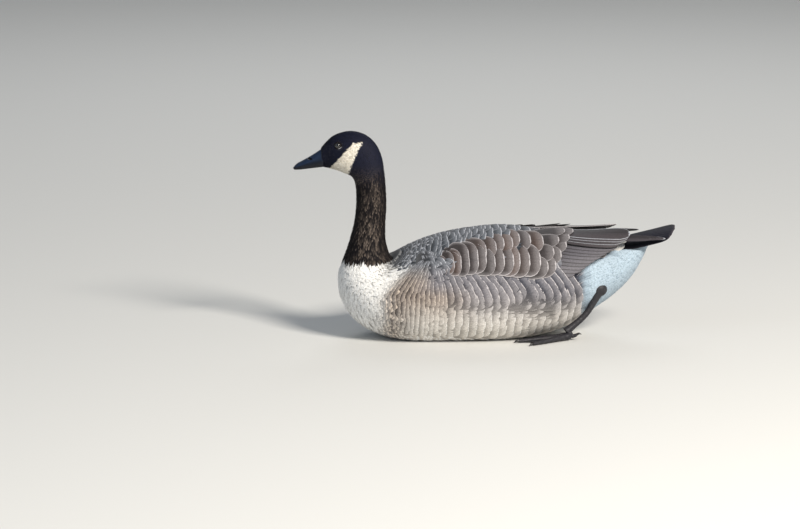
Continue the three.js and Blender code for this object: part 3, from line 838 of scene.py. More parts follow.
skinSize = {
    "rowsPerStation": 8, "columns": 96, "seam": (0.02, 0.9),
    "depth": ((0, 4, 9, 14, 17, 21, 28, 31), (0.5, 1.0, 1.4, 2.0, 3.5, 4.5, 4.0, 1.5)),
}
eye = {
    "x": -235.6, "z": 310.2, "side": 13.6, "radius": 6.6, "ring": 5.2, "facing": (-0.18, 1, 0.16),
    "socket": (4.6, 6.4), "socketOut": 1.5, "sideFrom": 8,
    "cornea": (0.72, 0.6), "pupil": 0.36, "iris": 0.56, "segments": 64, "rings": 48,
    "lidThick": 0.8, "lidSize": (1.06, 0.94, 1.25), "lidOut": 4.0, "cornerSunk": 1.1,
    "cornerDrawn": 0.07, "paleWay": (0.45, -0.9), "pale": (0.62, 0.9),
}


def coatDepth(t):
    return read(skinSize["depth"], t)


tLine = np.linspace(0.001, lastStation - 0.001, lastStation * 40)
sideLine = bodyPoint(tLine, np.full_like(tLine, 1.4))
lengthLine = np.concatenate([[0], np.cumsum(np.linalg.norm(np.diff(sideLine, axis=0), axis=1))])


# The bake map of the body between two stations: the angle across, the way along the side up.
def bodyUnwrap(tFrom=0, tTo=lastStation):
    low, high = np.interp([tFrom, tTo], tLine, lengthLine)

    def unwrap(t, angle):
        across = (angle + np.pi) / (2 * np.pi) % 1
        way = np.clip((np.interp(t, tLine, lengthLine) - low) / (high - low), 0, 1)
        return 0.01 + 0.98 * np.stack([across, way], -1)
    return unwrap


def fromEye(point):
    return np.hypot(point[..., 0] - eye["x"], point[..., 2] - eye["z"])


def makeSkin():
    count = skinSize["columns"]
    t = np.linspace(0.001, lastStation - 0.001, lastStation * skinSize["rowsPerStation"] + 1)
    angle = 2 * np.pi * (np.arange(count) + 0.5) / count - np.pi
    tt, aa = np.meshgrid(t, angle, indexing="ij")
    point, normal, _, _ = frameAt(bodySurface, tt, aa)
    point = point - normal * coatDepth(tt)[..., None]
    for _, side in sides:
        near = (1 - ease(fromEye(point), *eye["socket"])) * (point[..., 1] * side > eye["sideFrom"])
        point[..., 1] = mix(point[..., 1], side * (eye["side"] + eye["socketOut"]), near)
    point[..., 2] = np.maximum(point[..., 2], floorGap["skin"])
    skin = newPiece("skin", point, tubeFaces(len(t), count))
    mesh = skin.data
    writeColours(mesh, "ground", markings(point, tt, aa)[0].reshape(-1, 3))
    vertexOf = np.zeros(len(mesh.loops), np.int32)
    mesh.loops.foreach_get("vertex_index", vertexOf)
    uv = bodyUnwrap()(tt, aa).reshape(-1, 2)[vertexOf]
    quads = 4 * np.arange(len(mesh.polygons) - 2)
    low, high = skinSize["seam"]
    for k in (2, 3):                          # the last column of faces closes the ring
        seamFace = (uv[quads + k, 0] < low) & (uv[quads, 0] > high)
        uv[quads[seamFace] + k, 0] = 1.0
    writeMap(mesh, "OFBake", uv)
    smoothByAngle(skin, 60)
    return skin


# The down under the coat, mottled darker: painted shade where it shows in the gaps between feathers, over a
# fine fluffy bump.
def downMaterial():
    material, tree, shader = newMaterial("downSkin", **{"Roughness": 0.9})
    fluffAndShade = noise(tree, 700)
    tree.links.new(blendColour(tree, maths(tree, "MULTIPLY", fluffAndShade, 0.8),
                               attribute(tree, "ground", "Color"), (0.45, 0.43, 0.42, 1),
                               "MULTIPLY"), shader.inputs["Base Color"])
    addBump(tree, shader, fluffAndShade, 0.5, 0.0004)
    return material


finishPiece(makeSkin(), downMaterial(), "body_feathers", "head", "neck", "torso")
print("skin made")

scatterGrid = (260, 200)        # cells along and around the body that roots are drawn from


# Scatters roots over the body with about one spacing between them, seeded.
def scatter(tFrom, tTo, spacing, tries=2.2):
    gridT = np.linspace(tFrom, tTo, scatterGrid[0])
    gridA = np.linspace(-np.pi, np.pi, scatterGrid[1])
    stepT, stepA = gridT[1] - gridT[0], gridA[1] - gridA[0]
    tt, aa = np.meshgrid((gridT[1:] + gridT[:-1]) / 2, (gridA[1:] + gridA[:-1]) / 2, indexing="ij")
    area = np.linalg.norm(np.cross(*tangents(bodySurface, tt, aa)), axis=-1) * stepT * stepA
    share = (area / spacing(tt, aa) ** 2).ravel()
    wanted = int(share.sum() * tries)
    pick = rng.choice(share.size, wanted, p=share / share.sum())
    t = tt.ravel()[pick] + (rng.random(wanted) - 0.5) * stepT
    a = aa.ravel()[pick] + (rng.random(wanted) - 0.5) * stepA
    point = bodyPoint(t, a)
    gap = spacing(t, a)
    keys = np.floor(point / float(gap.max())).astype(int)
    around = [(i, j, k) for i in (-1, 0, 1) for j in (-1, 0, 1) for k in (-1, 0, 1)]
    bins = {}
    kept = []
    for n in range(wanted):
        x, y, z = keys[n]
        px, py, pz = point[n]
        reach = gap[n] ** 2
        near = (spot for i, j, k in around for spot in bins.get((x + i, y + j, z + k), ()))
        if all((px - qx) ** 2 + (py - qy) ** 2 + (pz - qz) ** 2 >= reach for qx, qy, qz in near):
            bins.setdefault((x, y, z), []).append((px, py, pz))
            kept.append(n)
    return t[kept], a[kept]


# Rows of roots across the body between two angles, each row set half a step from the last.
def rowsOnBody(tFrom, tTo, spacing, pitch, halfAngle, gauge=0.5):
    tList, aList = [], []
    t = tFrom
    odd = 0
    while t < tTo:
        line = np.linspace(-halfAngle(t), halfAngle(t), 60)
        ring = bodyPoint(np.full(60, t), line)
        reach = np.concatenate([[0], np.cumsum(np.linalg.norm(np.diff(ring, axis=0), axis=1))])
        count = max(int(reach[-1] / read(pitch, t)), 1)
        place = (np.arange(count) + 0.25 + 0.5 * odd) * reach[-1] / count
        aList.append(np.interp(place, reach, line))
        tList.append(np.full(count, t))
        alongU, _ = tangents(bodySurface, np.array([t]), np.array([gauge]))
        t += read(spacing, t) / float(np.linalg.norm(alongU))
        odd = 1 - odd
    return np.concatenate(tList), np.concatenate(aList)


# A closed tube through rings of points.
def loft(name, grid):
    grid[..., 2] = np.maximum(grid[..., 2], floorGap["leg"])
    piece = newPiece(name, grid, tubeFaces(*grid.shape[:2]))
    outwardFaces(piece)
    return piece


# bill

bill = {
    "base": -259, "tip": -306.5, "half": (12, 8.5), "mouth": (279.5, 272.8), "chin": (274.6, 269.4),
    "ridge": 19.6, "ridgePower": 1.75, "nailThick": 5.4, "gap": 0.5, "rows": 90, "columns": 72,
    "roundFrom": 0.72, "roundOver": 0.283, "flatShare": 0.35, "fat": (0.8, 1.0),
    "narrow": (1.05, 0.62), "narrowAt": (0.2, 0.9), "lip": (0.93, 0.5), "palate": 0.6,
    # the nail: its x, half length, half width and height, its border, least height over the mouth
    "nail": (-302.5, 7, 5.2, 0.45), "nailAt": (0.85, 1.05), "nailFrom": 1.5,
    # painted shade on the upper bill: its strength, and the heights over the mouth where it fades
    "dark": (0.8, 0.1, 0.6),
    "lowerColumns": 48, "lowerInset": 1.0, "lowerShift": 1.4, "lowerDepth": 0.8, "lowerFat": 0.6,
    "tongue": 0.5, "furrow": (0.6, 0.5, 3.0), "furrowAt": (0.75, 0.3), "lowerShade": 0.85,
}
nostril = {
    "x": -280, "z": 288.4, "length": 8, "height": 3.2, "depth": 2.4, "slant": 0.35, "rim": 0.35,
    "sideFrom": 2, "rimAt": (0.8, 1.15, 1.9), "pitAt": (0.5, 1.0), "pitShadeAt": (0.75, 1.05),
}


def finishBill(name, grid, dark, material, nodeName):
    piece = loft(name, grid)
    smoothByAngle(piece, 45)
    finishPiece(piece, material, "bill_horn", nodeName)
    writeValues(piece, "dark", dark)


def makeBill():
    # the horn is black with a blue tint of painted sheen
    horn, tree, shader = hornMaterial("billHorn", srgb(20, 33, 54), 0.32, **{"Specular IOR Level": 0.3})
    # the attribute dark paints shade: near black in the nostril pits, darker towards the mouth and over the
    # lower mandible
    tintBy(tree, shader, "dark", (0.002, 0.002, 0.003, 1))
    s = (np.linspace(0, 1, bill["rows"]) ** 0.9)[:, None]
    x = mix(bill["base"], bill["tip"], s)
    half = mix(*bill["half"], s ** 1.5)
    mouth = mix(*bill["mouth"], s ** 2.2)
    end = (np.maximum(s - bill["roundFrom"], 0) / bill["roundOver"]) ** 2
    end = np.sqrt(np.maximum(1 - end, 0.0004))
    high = bill["nailThick"] * (1 - s ** 12) + bill["ridge"] * (1 - s) ** bill["ridgePower"]
    top = bill["columns"] * 2 // 3
    over = np.linspace(0, np.pi, top)
    under = np.linspace(np.pi, 2 * np.pi, bill["columns"] - top + 2)[1:-1]
    ridge = mix(*bill["narrow"], ease(s, *bill["narrowAt"]))    # a narrow ridge turns to a flat tip
    lipFrom, lipIn = bill["lip"]
    y = half * end * power(np.cos(over), mix(*bill["fat"], s))
    z = (mouth + bill["gap"] / 2 - lipIn * ease(np.abs(np.cos(over)), lipFrom, 1)
         + high * mix(bill["flatShare"], 1, end) * np.abs(np.sin(over)) ** ridge)
    inY = half * end * np.cos(under)
    inZ = mouth + bill["gap"] / 2 + bill["palate"] * (1 - (inY / np.maximum(half * end, 0.1)) ** 2)
    y, z = np.concatenate([y, inY], 1), np.concatenate([z, inZ], 1)
    grid = np.stack([x + 0 * y, y, z], -1)
    # nostrils: a long pit with a raised rim on each side
    dx = (grid[..., 0] - nostril["x"]) + nostril["slant"] * (grid[..., 2] - nostril["z"])
    dz = grid[..., 2] - nostril["z"]
    ring = np.sqrt((dx / (nostril["length"] / 2)) ** 2 + (dz / (nostril["height"] / 2)) ** 2)
    side = np.sign(grid[..., 1]) * (np.abs(grid[..., 1]) > nostril["sideFrom"])
    rimIn, rimTop, rimOut = nostril["rimAt"]
    rise = nostril["rim"] * ease(ring, rimIn, rimTop) * (1 - ease(ring, rimTop, rimOut))
    grid[..., 1] += side * (rise - nostril["depth"] * (1 - ease(ring, *nostril["pitAt"])))
    # the nail: a raised oval plate at the tip
    nailX, nailLength, nailHalf, nailHigh = bill["nail"]
    nail = np.hypot((grid[..., 0] - nailX) / nailLength, grid[..., 1] / nailHalf)
    onTop = grid[..., 2] > mouth + bill["nailFrom"]
    grid[..., 2] += nailHigh * (1 - ease(nail, *bill["nailAt"])) * onTop
    # painted shade: the nostril pit darkened, and the upper bill darker towards the mouth
    pit = (1 - ease(ring, *nostril["pitShadeAt"])) * (np.abs(grid[..., 1]) > nostril["sideFrom"])
    share, low, risen = bill["dark"]
    dark = np.maximum(pit, share * (1 - ease((grid[..., 2] - mouth) / high, low, risen)))
    finishBill("billUpper", grid, dark, horn, "bill_upper")

    angle = 2 * np.pi * np.arange(bill["lowerColumns"]) / bill["lowerColumns"]
    floor = mouth - bill["gap"] / 2
    depth = np.maximum(floor - mix(*bill["chin"], s), bill["lowerDepth"]) * mix(0.5, 1, end)
    y = (half - bill["lowerInset"]) * end * np.cos(angle)
    tongue = -bill["tongue"] * np.sin(angle) ** 2 * (1 - np.cos(angle) ** 8)
    deep, near, far = bill["furrow"]
    furrow = deep * (1 - ease(np.abs(y), near, far)) * ease(s, *bill["furrowAt"])
    chin = furrow - depth * np.abs(np.sin(angle)) ** bill["lowerFat"]
    z = floor + np.where(np.sin(angle) > 0, tongue, chin)
    grid = np.stack([x + bill["lowerShift"] * s + 0 * y, y, z], -1)
    # the lower mandible is painted darker all over, as in shade
    finishBill("billLower", grid, np.full(y.shape, bill["lowerShade"]), horn, "bill_lower")


makeBill()


# eyes and lids

def eyeMaterial():
    material, tree, shader = newMaterial("eyeBrown", **{
        "Roughness": 0.12, "Coat Weight": 1.0, "Coat Roughness": 0.03})
    ramp = node(tree, "ShaderNodeValToRGB")
    stops = ((0.0, (0.001, 0.001, 0.001, 1)), (eye["pupil"], (0.001, 0.001, 0.001, 1)),
             (eye["pupil"] + 0.03, (0.004, 0.002, 0.0015, 1)), (0.48, (0.009, 0.004, 0.0025, 1)),
             (eye["iris"], (0.004, 0.003, 0.002, 1)), (0.7, (0.008, 0.006, 0.006, 1)))
    elements = ramp.color_ramp.elements
    while len(elements) < len(stops):
        elements.new(0.5)
    for element, (at, tint) in zip(elements, stops):
        element.position = at
        element.color = tint
    tree.links.new(attribute(tree, "gaze"), ramp.inputs["Fac"])
    tree.links.new(ramp.outputs["Color"], shader.inputs["Base Color"])
    return material


# the lids are black but for a paler stretch under the eye
def lidMaterial():
    material, tree, shader = hornMaterial("lidSkin", srgb(10, 10, 14), 0.8, 2500, 0.6,
                                          **{"Specular IOR Level": 0.12})
    tintBy(tree, shader, "pale", (0.42, 0.43, 0.46, 1))
    return material


def makeEyes():
    brown, lidSkin = eyeMaterial(), lidMaterial()
    for sideName, side in sides:
        centre = Vector((eye["x"], side * eye["side"], eye["z"])) * mm
        facing = Vector((eye["facing"][0], side, eye["facing"][2])).normalized()
        turn = facing.to_track_quat("Z", "Y").to_matrix().to_4x4()
        bpy.ops.mesh.primitive_uv_sphere_add(segments=eye["segments"], ring_count=eye["rings"],
                                             radius=eye["radius"] * mm)
        ball = bpy.context.active_object
        ball.name = "eyeball" + sideName
        reach = np.array([v.co.normalized().z for v in ball.data.vertices])
        writeValues(ball, "gaze", np.arccos(np.clip(reach, -1, 1)) / np.pi * 2)
        bulgeFrom, bulge = eye["cornea"]
        for vertex in ball.data.vertices:
            high = vertex.co.z / (eye["radius"] * mm)
            vertex.co.z += bulge * mm * float(ease(high, bulgeFrom, 1.0))
        ball.data.transform(Matrix.Translation(centre) @ turn)
        bpy.ops.object.shade_smooth()
        finishPiece(ball, brown, "eye", "eye_" + sideName.lower())
        bpy.ops.mesh.primitive_torus_add(major_segments=64, minor_segments=16,
                                         major_radius=eye["ring"] * mm,
                                         minor_radius=eye["lidThick"] * mm)
        lids = bpy.context.active_object
        lids.name = "lids" + sideName
        editAll((bpy.ops.transform.resize, {"value": eye["lidSize"]}))
        for vertex in lids.data.vertices:                  # corners drawn out and sunk
            corner = (vertex.co.x / (eye["ring"] * mm)) ** 4
            vertex.co.z -= eye["cornerSunk"] * mm * corner
            vertex.co.x *= 1 + eye["cornerDrawn"] * corner
        lids.data.transform(Matrix.Translation(centre + facing * eye["lidOut"] * mm) @ turn)
        way = np.array([v.co - centre for v in lids.data.vertices]) / (eye["ring"] * mm)
        writeValues(lids, "pale", ease(way[:, ::2] @ eye["paleWay"], *eye["pale"]))
        bpy.ops.object.shade_smooth()
        finishPiece(lids, lidSkin, "head_feathers", "head")


makeEyes()
print("bill and eyes made")


# legs and feet

leg = {
    "knee": (160, 40, 92), "hock": (180, 49, 78), "ankle": (124, 66, 14), "sides": 20,
    "bend": (5, 0, -5), "radii": (8.5, 7, 5.6, 5.0, 4.8, 4.8, 5.0, 5.6, 6.6),
    "thigh": (13, 12, 10, 8.5), "joint": (12, 8.5, 11), "jointTurn": 0.3, "scutes": (0.25, 40),
}
toe = {
    "tips": ((74, 62, 2.2), (46, 84, 2.2), (66, 110, 2.2)), "joints": (0, 2, 3),
    "palm": (4, 0, -7), "middle": 4.8, "radii": (7.2, 5.4, 4.4, 3.8, 2.8),
    "hindTip": (17, 2, -6), "hindRoot": (4, 0, -1), "hindMiddle": 7.0, "hindRadii": (5, 3.6, 2.6),
    "sides": 14, "flat": 0.85, "knuckle": 0.10, "tipUp": (0, 0, 1.0),
    "claw": (-2, 3.5, 8.0), "clawZ": (0, 0.6, -2.2), "clawRadii": (2.2, 1.9, 1.3, 0.25),
}
web = {"across": 60, "deep": 24, "thick": 1.1, "high": 3.2, "fold": 0.35, "reach": (0.9, 0.2)}


def curveThrough(points, count):
    rows = np.array(points, float)
    rows = np.concatenate([2 * rows[:1] - rows[1:2], rows, 2 * rows[-1:] - rows[-2:-1]])
    return along(rows, np.linspace(1, len(rows) - 2.0001, count))


def tubeGrid(path, radii, count, flat=1.0):
    radii = np.interp(np.linspace(0, 1, len(path)), np.linspace(0, 1, len(radii)), radii)
    forward = unit(np.gradient(path, axis=0))
    across = unit(np.cross(np.array([0.0, 0, 1]), forward))
    upward = np.cross(forward, across)
    angle = 2 * np.pi * np.arange(count) / count
    return (path[:, None] + across[:, None] * (radii[:, None] * np.cos(angle))[..., None]
            + upward[:, None] * (flat * radii[:, None] * np.sin(angle))[..., None])


# the horn of the legs gets a net of scales over its grain
def legSkin():
    material, tree, shader = hornMaterial("legSkin", srgb(30, 29, 35), 0.5, 1200, 0.3)
    cells = texture(tree, "ShaderNodeTexVoronoi", "Distance", 420, feature="DISTANCE_TO_EDGE")
    addBump(tree, shader, step(tree, cells, 0.0, 0.12), 0.7, 0.0004)
    return material


def makeToe(start, middleZ, tip, radii, joints):
    middle = (start + tip) / 2
    middle[2] = middleZ
    path = curveThrough([start, middle, tip + np.array(toe["tipUp"])], 50)
    knuckles = 1 + toe["knuckle"] * np.sin(np.linspace(0, 1, 50) * 2 * np.pi * (joints + 0.5)) ** 2
    grid = tubeGrid(path, radii, toe["sides"], toe["flat"])
    grid = path[:, None] + (grid - path[:, None]) * knuckles[:, None, None]
    forward = unit(path[-1] - path[-4])
    clawPath = [path[-1] + out * forward + np.array([0, 0, z])
                for out, z in zip(toe["claw"], toe["clawZ"])]
    return loft("toe", grid), loft("claw", tubeGrid(curveThrough(clawPath, 14), toe["clawRadii"], 12))


# The web hangs between the three front toes, with a bay in its edge between each two.
def makeWeb(palm, tips):
    v = np.linspace(0, 1, web["across"] + 1)
    reach = np.linspace(0, 1, web["deep"] + 1)[:, None]
    wave = np.sin(2 * np.pi * v) ** 2
    edge = np.stack([np.interp(v, (0, 0.5, 1), k) for k in np.transpose(tips)], -1)
    far, bay = web["reach"]
    p = mix(palm, edge, (reach * (far - bay * wave) + 0.02)[..., None])
    fold = web["fold"] * np.sin(reach * 20 + 3 * np.sin(6 * v)) * wave
    sheet = np.stack([p, p])
    for face in (0, 1):
        sheet[face, ..., 2] = np.maximum(web["high"] + fold - face * web["thick"], floorGap["web"])
    piece = newPiece("web", sheet, sheetFaces(web["deep"], web["across"], True))
    outwardFaces(piece)
    return piece


def makeLegs():
    skin = legSkin()
    horn, _, _ = hornMaterial("clawHorn", srgb(30, 28, 28), 0.35)
    for sideName, side in sides:
        low = sideName.lower()
        turned = np.array([1, side, 1])
        knee, hock, ankle = (np.array(leg[k], float) * turned for k in ("knee", "hock", "ankle"))
        middle = (hock + ankle) / 2 + np.array(leg["bend"])
        path = curveThrough([hock, middle, ankle], 80)
        grid = tubeGrid(path, leg["radii"], leg["sides"])
        s = np.linspace(0, 1, len(path))
        high, often = leg["scutes"]
        scutes = high * np.abs(np.sin(s * often)) * ease(s, 0.1, 0.25)      # overlapping scales
        grid += unit(grid - path[:, None]) * scutes[:, None, None]
        shank = loft("shank", grid)
        thigh = loft("thigh", tubeGrid(curveThrough([knee, (knee + hock) / 2, hock], 24),
                                       leg["thigh"], leg["sides"]))
        bpy.ops.mesh.primitive_uv_sphere_add(segments=32, ring_count=20, radius=1)
        joint = bpy.context.active_object
        editAll((bpy.ops.transform.resize, {"value": tuple(k * mm for k in leg["joint"])}),
                (bpy.ops.transform.rotate, {"value": side * leg["jointTurn"], "orient_axis": "Z",
                                            "center_override": (0, 0, 0)}),
                (bpy.ops.transform.translate, {"value": tuple(hock * mm)}))

        palm = ankle + np.array(toe["palm"])
        tips = [np.array(p, float) * turned for p in toe["tips"]]
        made = [makeToe(palm, toe["middle"], tip, toe["radii"], joints)
                for tip, joints in zip(tips, toe["joints"])]
        made.append(makeToe(ankle + np.array(toe["hindRoot"]), toe["hindMiddle"],
                            ankle + np.array(toe["hindTip"]) * turned, toe["hindRadii"], 1))
        toes, claws = ([pair[k] for pair in made] for k in (0, 1))
        for name, pieces, material, nodeName in (
                ("shank", [shank, thigh, joint], skin, "leg_"),
                ("foot", toes + [makeWeb(palm, tips)], skin, "foot_"), ("claws", claws, horn, "foot_")):
            piece = joinPieces(name + sideName, pieces)
            smoothByAngle(piece)
            finishPiece(piece, material, "leg_skin", nodeName + low)


makeLegs()
print("legs and feet made")


# head and neck coat

headSize = {
    "t": (0.02, 8.6), "gap": (1.0, 1.7), "gapAt": (1, 8), "length": (2.2, 5.4), "lengthAt": (0.3, 7),
    "width": 0.62, "stray": 0.12, "bare": 6.6, "lidEdge": 5.6, "short": 1.2, "nearEye": (14, 3),
}
neckSize = {
    "t": (8.4, 15.9), "gap": (1.6, 2.1), "gapAt": (8, 15), "length": (7, 14), "lengthAt": (8, 14.5),
    "width": 0.24, "stray": 0.1, "lift": (0.7, -0.3, 0.3), "strand": (0.22, 0.45, 0.5, 0.3),
    "lit": (0.25, 0.55), "groundShare": 0.35,
}


def headCoat():
    t, a = scatter(*headSize["t"], lambda t, a: mix(*headSize["gap"], ease(t, *headSize["gapAt"])))
    p = bodyPoint(t, a)
    away = fromEye(p)
    onSide = np.abs(p[:, 1]) > eye["sideFrom"]
    keep = ~((away < headSize["bare"]) & onSide)
    t, a, p, away, onSide = (k[keep] for k in (t, a, p, away, onSide))
    length = mix(*headSize["length"], ease(t, *headSize["lengthAt"])) * vary(0.15, len(t))
    near, past = headSize["nearEye"]
    ahead = onSide & (away < near) & (p[:, 0] < eye["x"] + past)
    free = np.maximum(away - headSize["lidEdge"], headSize["short"])
    length = np.where(ahead, np.minimum(length, free), length)
    batch = layFeathers(bodySurface, t, a, tiny, length, length * headSize["width"],
                        rng.normal(0, headSize["stray"], len(t)),
                        (-coatDepth(t) - 0.1, 0.25 * rng.random(len(t)) - 0.1))
    return dye(batch, *markings(*batch["shown"]), 0.12)


# the neck's feathers lie in furrows, and those with brown tips in strands. The brown of the tips is partly
# painted light: the strands are whole where the neck faces sideways and fade towards its front and back.
def neckCoat():
    t, a = scatter(*neckSize["t"], lambda t, a: mix(*neckSize["gap"], ease(t, *neckSize["gapAt"])))
    length = mix(*neckSize["length"], ease(t, *neckSize["lengthAt"])) * vary(0.15, len(t))
    furrow = np.sin(a * 17 + 1.5 * np.sin(t * 1.7 + a * 3)) * np.sin(t * 2.3 + 4 * np.sin(a * 5))
    random, level, deep = neckSize["lift"]
    batch = layFeathers(bodySurface, t, a, tiny, length, length * neckSize["width"],
                        rng.normal(0, neckSize["stray"], len(t)),
                        (-coatDepth(t) - 0.2, random * rng.random(len(t)) + level + deep * furrow))
    ground, rim = markings(*batch["shown"])
    clump = np.sin(a * 43 + 2 * np.sin(t * 3)) * np.sin(t * 7 + 3 * np.sin(a * 11))
    base, furrowShare, clumpShare, strayShare = neckSize["strand"]
    strand = np.clip(base + furrowShare * furrow + clumpShare * clump
                     + strayShare * rng.normal(0, 1, len(t)), 0, 1)
    # painted light: the strands fade towards the front and back of the neck
    least, litFrom = neckSize["lit"]
    strand = (strand * mix(least, 1, ease(np.abs(np.sin(a)), litFrom, 1)))[:, None]
    return dye(batch, mix(ground, rim, neckSize["groundShare"] * strand), mix(ground, rim, strand), 0.3)


# body coat: soft feathers on breast and belly, fringed rows on the sides and back

front = {
    "t": (15.0, 29.5), "gap": (2.6, 4.8, 3.4), "broadAt": (15, 20), "fineAt": (24, 25),
    "barFrom": -158.0, "barTo": 142, "barAngle": (20, 138), "topAngle": 62, "topFrom": 19.5, "topTo": 205,
    "length": (14, 27, 6.5), "lengthAt": (15, 21), "vent": (24.5, 25.5), "width": (0.5, 0.62),
    "corner": (100, 60), "cornerAt": (17.5, 16), "proud": (0.2, 1.0, 0.35), "stray": 0.08, "neckTo": 16,
}


def frontCoat():
    near, breast, fine = front["gap"]
    t, a = scatter(*front["t"], lambda t, a: mix(near, mix(breast, fine, ease(t, *front["fineAt"])),
                                                 ease(t, *front["broadAt"])))
    degrees = np.abs(np.degrees(a))
    p = bodyPoint(t, a)
    low, high = front["barAngle"]
    barred = ((p[:, 0] > barX(front["barFrom"], p[:, 2])) & (degrees > low) & (degrees < high)
              & (p[:, 0] < front["barTo"]))
    onTop = (degrees < front["topAngle"]) & (t > front["topFrom"]) & (p[:, 0] < front["topTo"])
    keep = ~(barred | onTop)
    t, a, degrees = t[keep], a[keep], degrees[keep]
    first, grown, short = front["length"]
    length = mix(first, grown, ease(t, *front["lengthAt"])) * vary(0.1, len(t))
    corner = ease(degrees, *front["corner"]) * ease(t, *front["cornerAt"])       # behind the neck
    length = mix(length, short, corner)
    vent = ease(t, *front["vent"])
    level, rough, smooth = front["proud"]
    proud = (level + mix(rough, smooth, vent) * rng.random(len(t))) * (1 - corner)
    batch = layFeathers(bodySurface, t, a, small, length, length * mix(*front["width"], vent),
                        rng.normal(0, front["stray"], len(t)), (-coatDepth(t) + 0.2, proud),
                        camber=0.04)
    neckLine = (batch["shown"][1] < front["neckTo"])[:, None, None]
    ground, rim = (np.where(neckLine, one[:, None], every)
                   for one, every in zip(markings(*batch["shown"]), markings(*batch["spots"])))
    return dye(batch, ground, rim, 0.05)


# Where the body's side has the given x and z, as t and the angle on the side of +Y.
def findOnBody(x, z):
    first = 16
    middles = (stationRows[first:, 0] + stationRows[first:, 2]) / 2
    t = np.interp(x, middles, np.arange(first, len(stationRows)))
    a = np.full_like(t, 1.6)
    for _ in range(14):
        p = bodyPoint(t, a)
        alongT, alongA = tangents(bodySurface, t, a)
        ex, ez = x - p[:, 0], z - p[:, 2]
        area = alongT[:, 0] * alongA[:, 2] - alongA[:, 0] * alongT[:, 2]
        t = t + np.clip((ex * alongA[:, 2] - ez * alongA[:, 0]) / area, -0.4, 0.4)
        a = a + np.clip((alongT[:, 0] * ez - alongT[:, 2] * ex) / area, -0.2, 0.2)
        t, a = np.clip(t, 15.2, 27.5), np.clip(a, 0.35, 2.7)
    p = bodyPoint(t, a)
    found = (np.abs(p[:, 0] - x) < 2.5) & (np.abs(p[:, 2] - z) < 2.5)
    return t, a, found


flank = {
    "feet": (-166, -70, 146),            # the first bar, the last fine bar and the last bar
    "gaps": (7.5, 12),                   # from bar to bar, fine and broad
    "pitch": ((-180, -110, -60), (6, 7.5, 11)),
    "top": ((-150, -110, -72, -40, 20, 60, 95, 112, 146), (132, 142, 132, 124, 124, 134, 140, 138, 112)),
    "lowZ": 16, "stray": (0.8, 1.1), "turn": 0.9, "turnStray": 0.03, "length": 42, "width": 30,
    "size": ((-180, -110, -60, 0), (0.42, 0.55, 0.85, 1)),
    "proud": ((16, 19, 21, 23, 24.5, 26), (0.3, 1.6, 6, 8.5, 13, 7)), "proudZ": (5, 105),
    "belly": (1.5, 20, 22.5), "bellyZ": (60, 30), "rootSunk": (5, 1.5), "sunkAt": (-160, -110),
}


def flankRows(side):
    first, fine, last = flank["feet"]
    fineGap, broadGap = flank["gaps"]
    feet = np.concatenate([np.arange(first, fine, fineGap), np.arange(fine, last + 1, broadGap)])
    tips = []
    for k, foot in enumerate(feet):
        pitch = read(flank["pitch"], foot)
        topZ = read(flank["top"], foot - read(bars["lean"], foot))
        z = np.arange(flank["lowZ"], topZ, pitch * 0.9) + (k % 2) * pitch * 0.45
        foots = foot + rng.normal(0, flank["stray"][int(foot >= fine)], len(z))
        tips.append(np.stack([barX(foots, z), z, foots], -1))
    x, z, foot = np.concatenate(tips).T
    t, a, found = findOnBody(x, z)
    tAhead, aAhead, _ = findOnBody(barX(foot, z + 3), z + 3)
    z, foot, t, a, tAhead, aAhead = (k[found] for k in (z, foot, t, a, tAhead, aAhead))
    n = len(t)
    here, normal, alongT, _ = frameAt(bodySurface, t, a)
    lie = np.cross(normal, unit(bodyPoint(tAhead, aAhead) - here))
    lie = lie * np.where(lie[:, :1] < 0, -1, 1)
    e1 = unit(alongT)
    turn = np.arctan2(np.sum(lie * np.cross(normal, e1), -1), np.sum(lie * e1, -1))
    turn = np.clip(turn, -flank["turn"], flank["turn"])
    size = read(flank["size"], foot) * rng.uniform(0.96, 1.04, n)
    rootT, rootA = walk(bodySurface, t, a, -flank["length"] * size, turn)
    bellyLift, bellyFrom, bellyTo = flank["belly"]
    proud = (read(flank["proud"], t) * ease(z, *flank["proudZ"])
             + bellyLift * ease(t, bellyFrom, bellyTo) * ease(z, *flank["bellyZ"]))
    sunk = mix(*flank["rootSunk"], ease(foot, *flank["sunkAt"]))
    batch = layFeathers(bodySurface, rootT, rootA, square, flank["length"] * size,
                        flank["width"] * size, turn + rng.normal(0, flank["turnStray"], n),
                        (proud * 0.82 - sunk, proud + 0.3 + 0.4 * rng.random(n)),
                        camber=0.006, tilt=-0.15, rise=1.0)
    batch = dye(batch, *markings(*batch["spots"]), 0.1, patch=0.012)
    if side < 0:
        batch.update(points=batch["points"] * mirror, v=-batch["v"], mirrored=True)
    return batch


mantle = {
    "t": (15.5, 26.4), "half": ((15.4, 17, 19, 20.3, 22, 23.3, 25, 26.4), (34, 44, 50, 48, 30, 22, 30, 34)),
    "spacing": ((15.5, 17, 19, 21, 23), (3.6, 5, 7.5, 10, 13)),
    "pitch": ((15.5, 17, 19, 22), (5, 7.5, 12, 18)), "stray": (0.055, 0.02, 0.06),
    "length": ((15.4, 17, 19, 22, 24), (12, 17, 25, 36, 44)),
    "width": ((15.4, 17, 19, 22, 24), (14.4, 19.2, 28.8, 44.8, 51.2)),
    "proud": ((16, 19, 21, 22, 25), (0, 1.0, 2.5, 5.5, 6)), "fan": 0.45, "brownFrom": (22.5, 24),
}


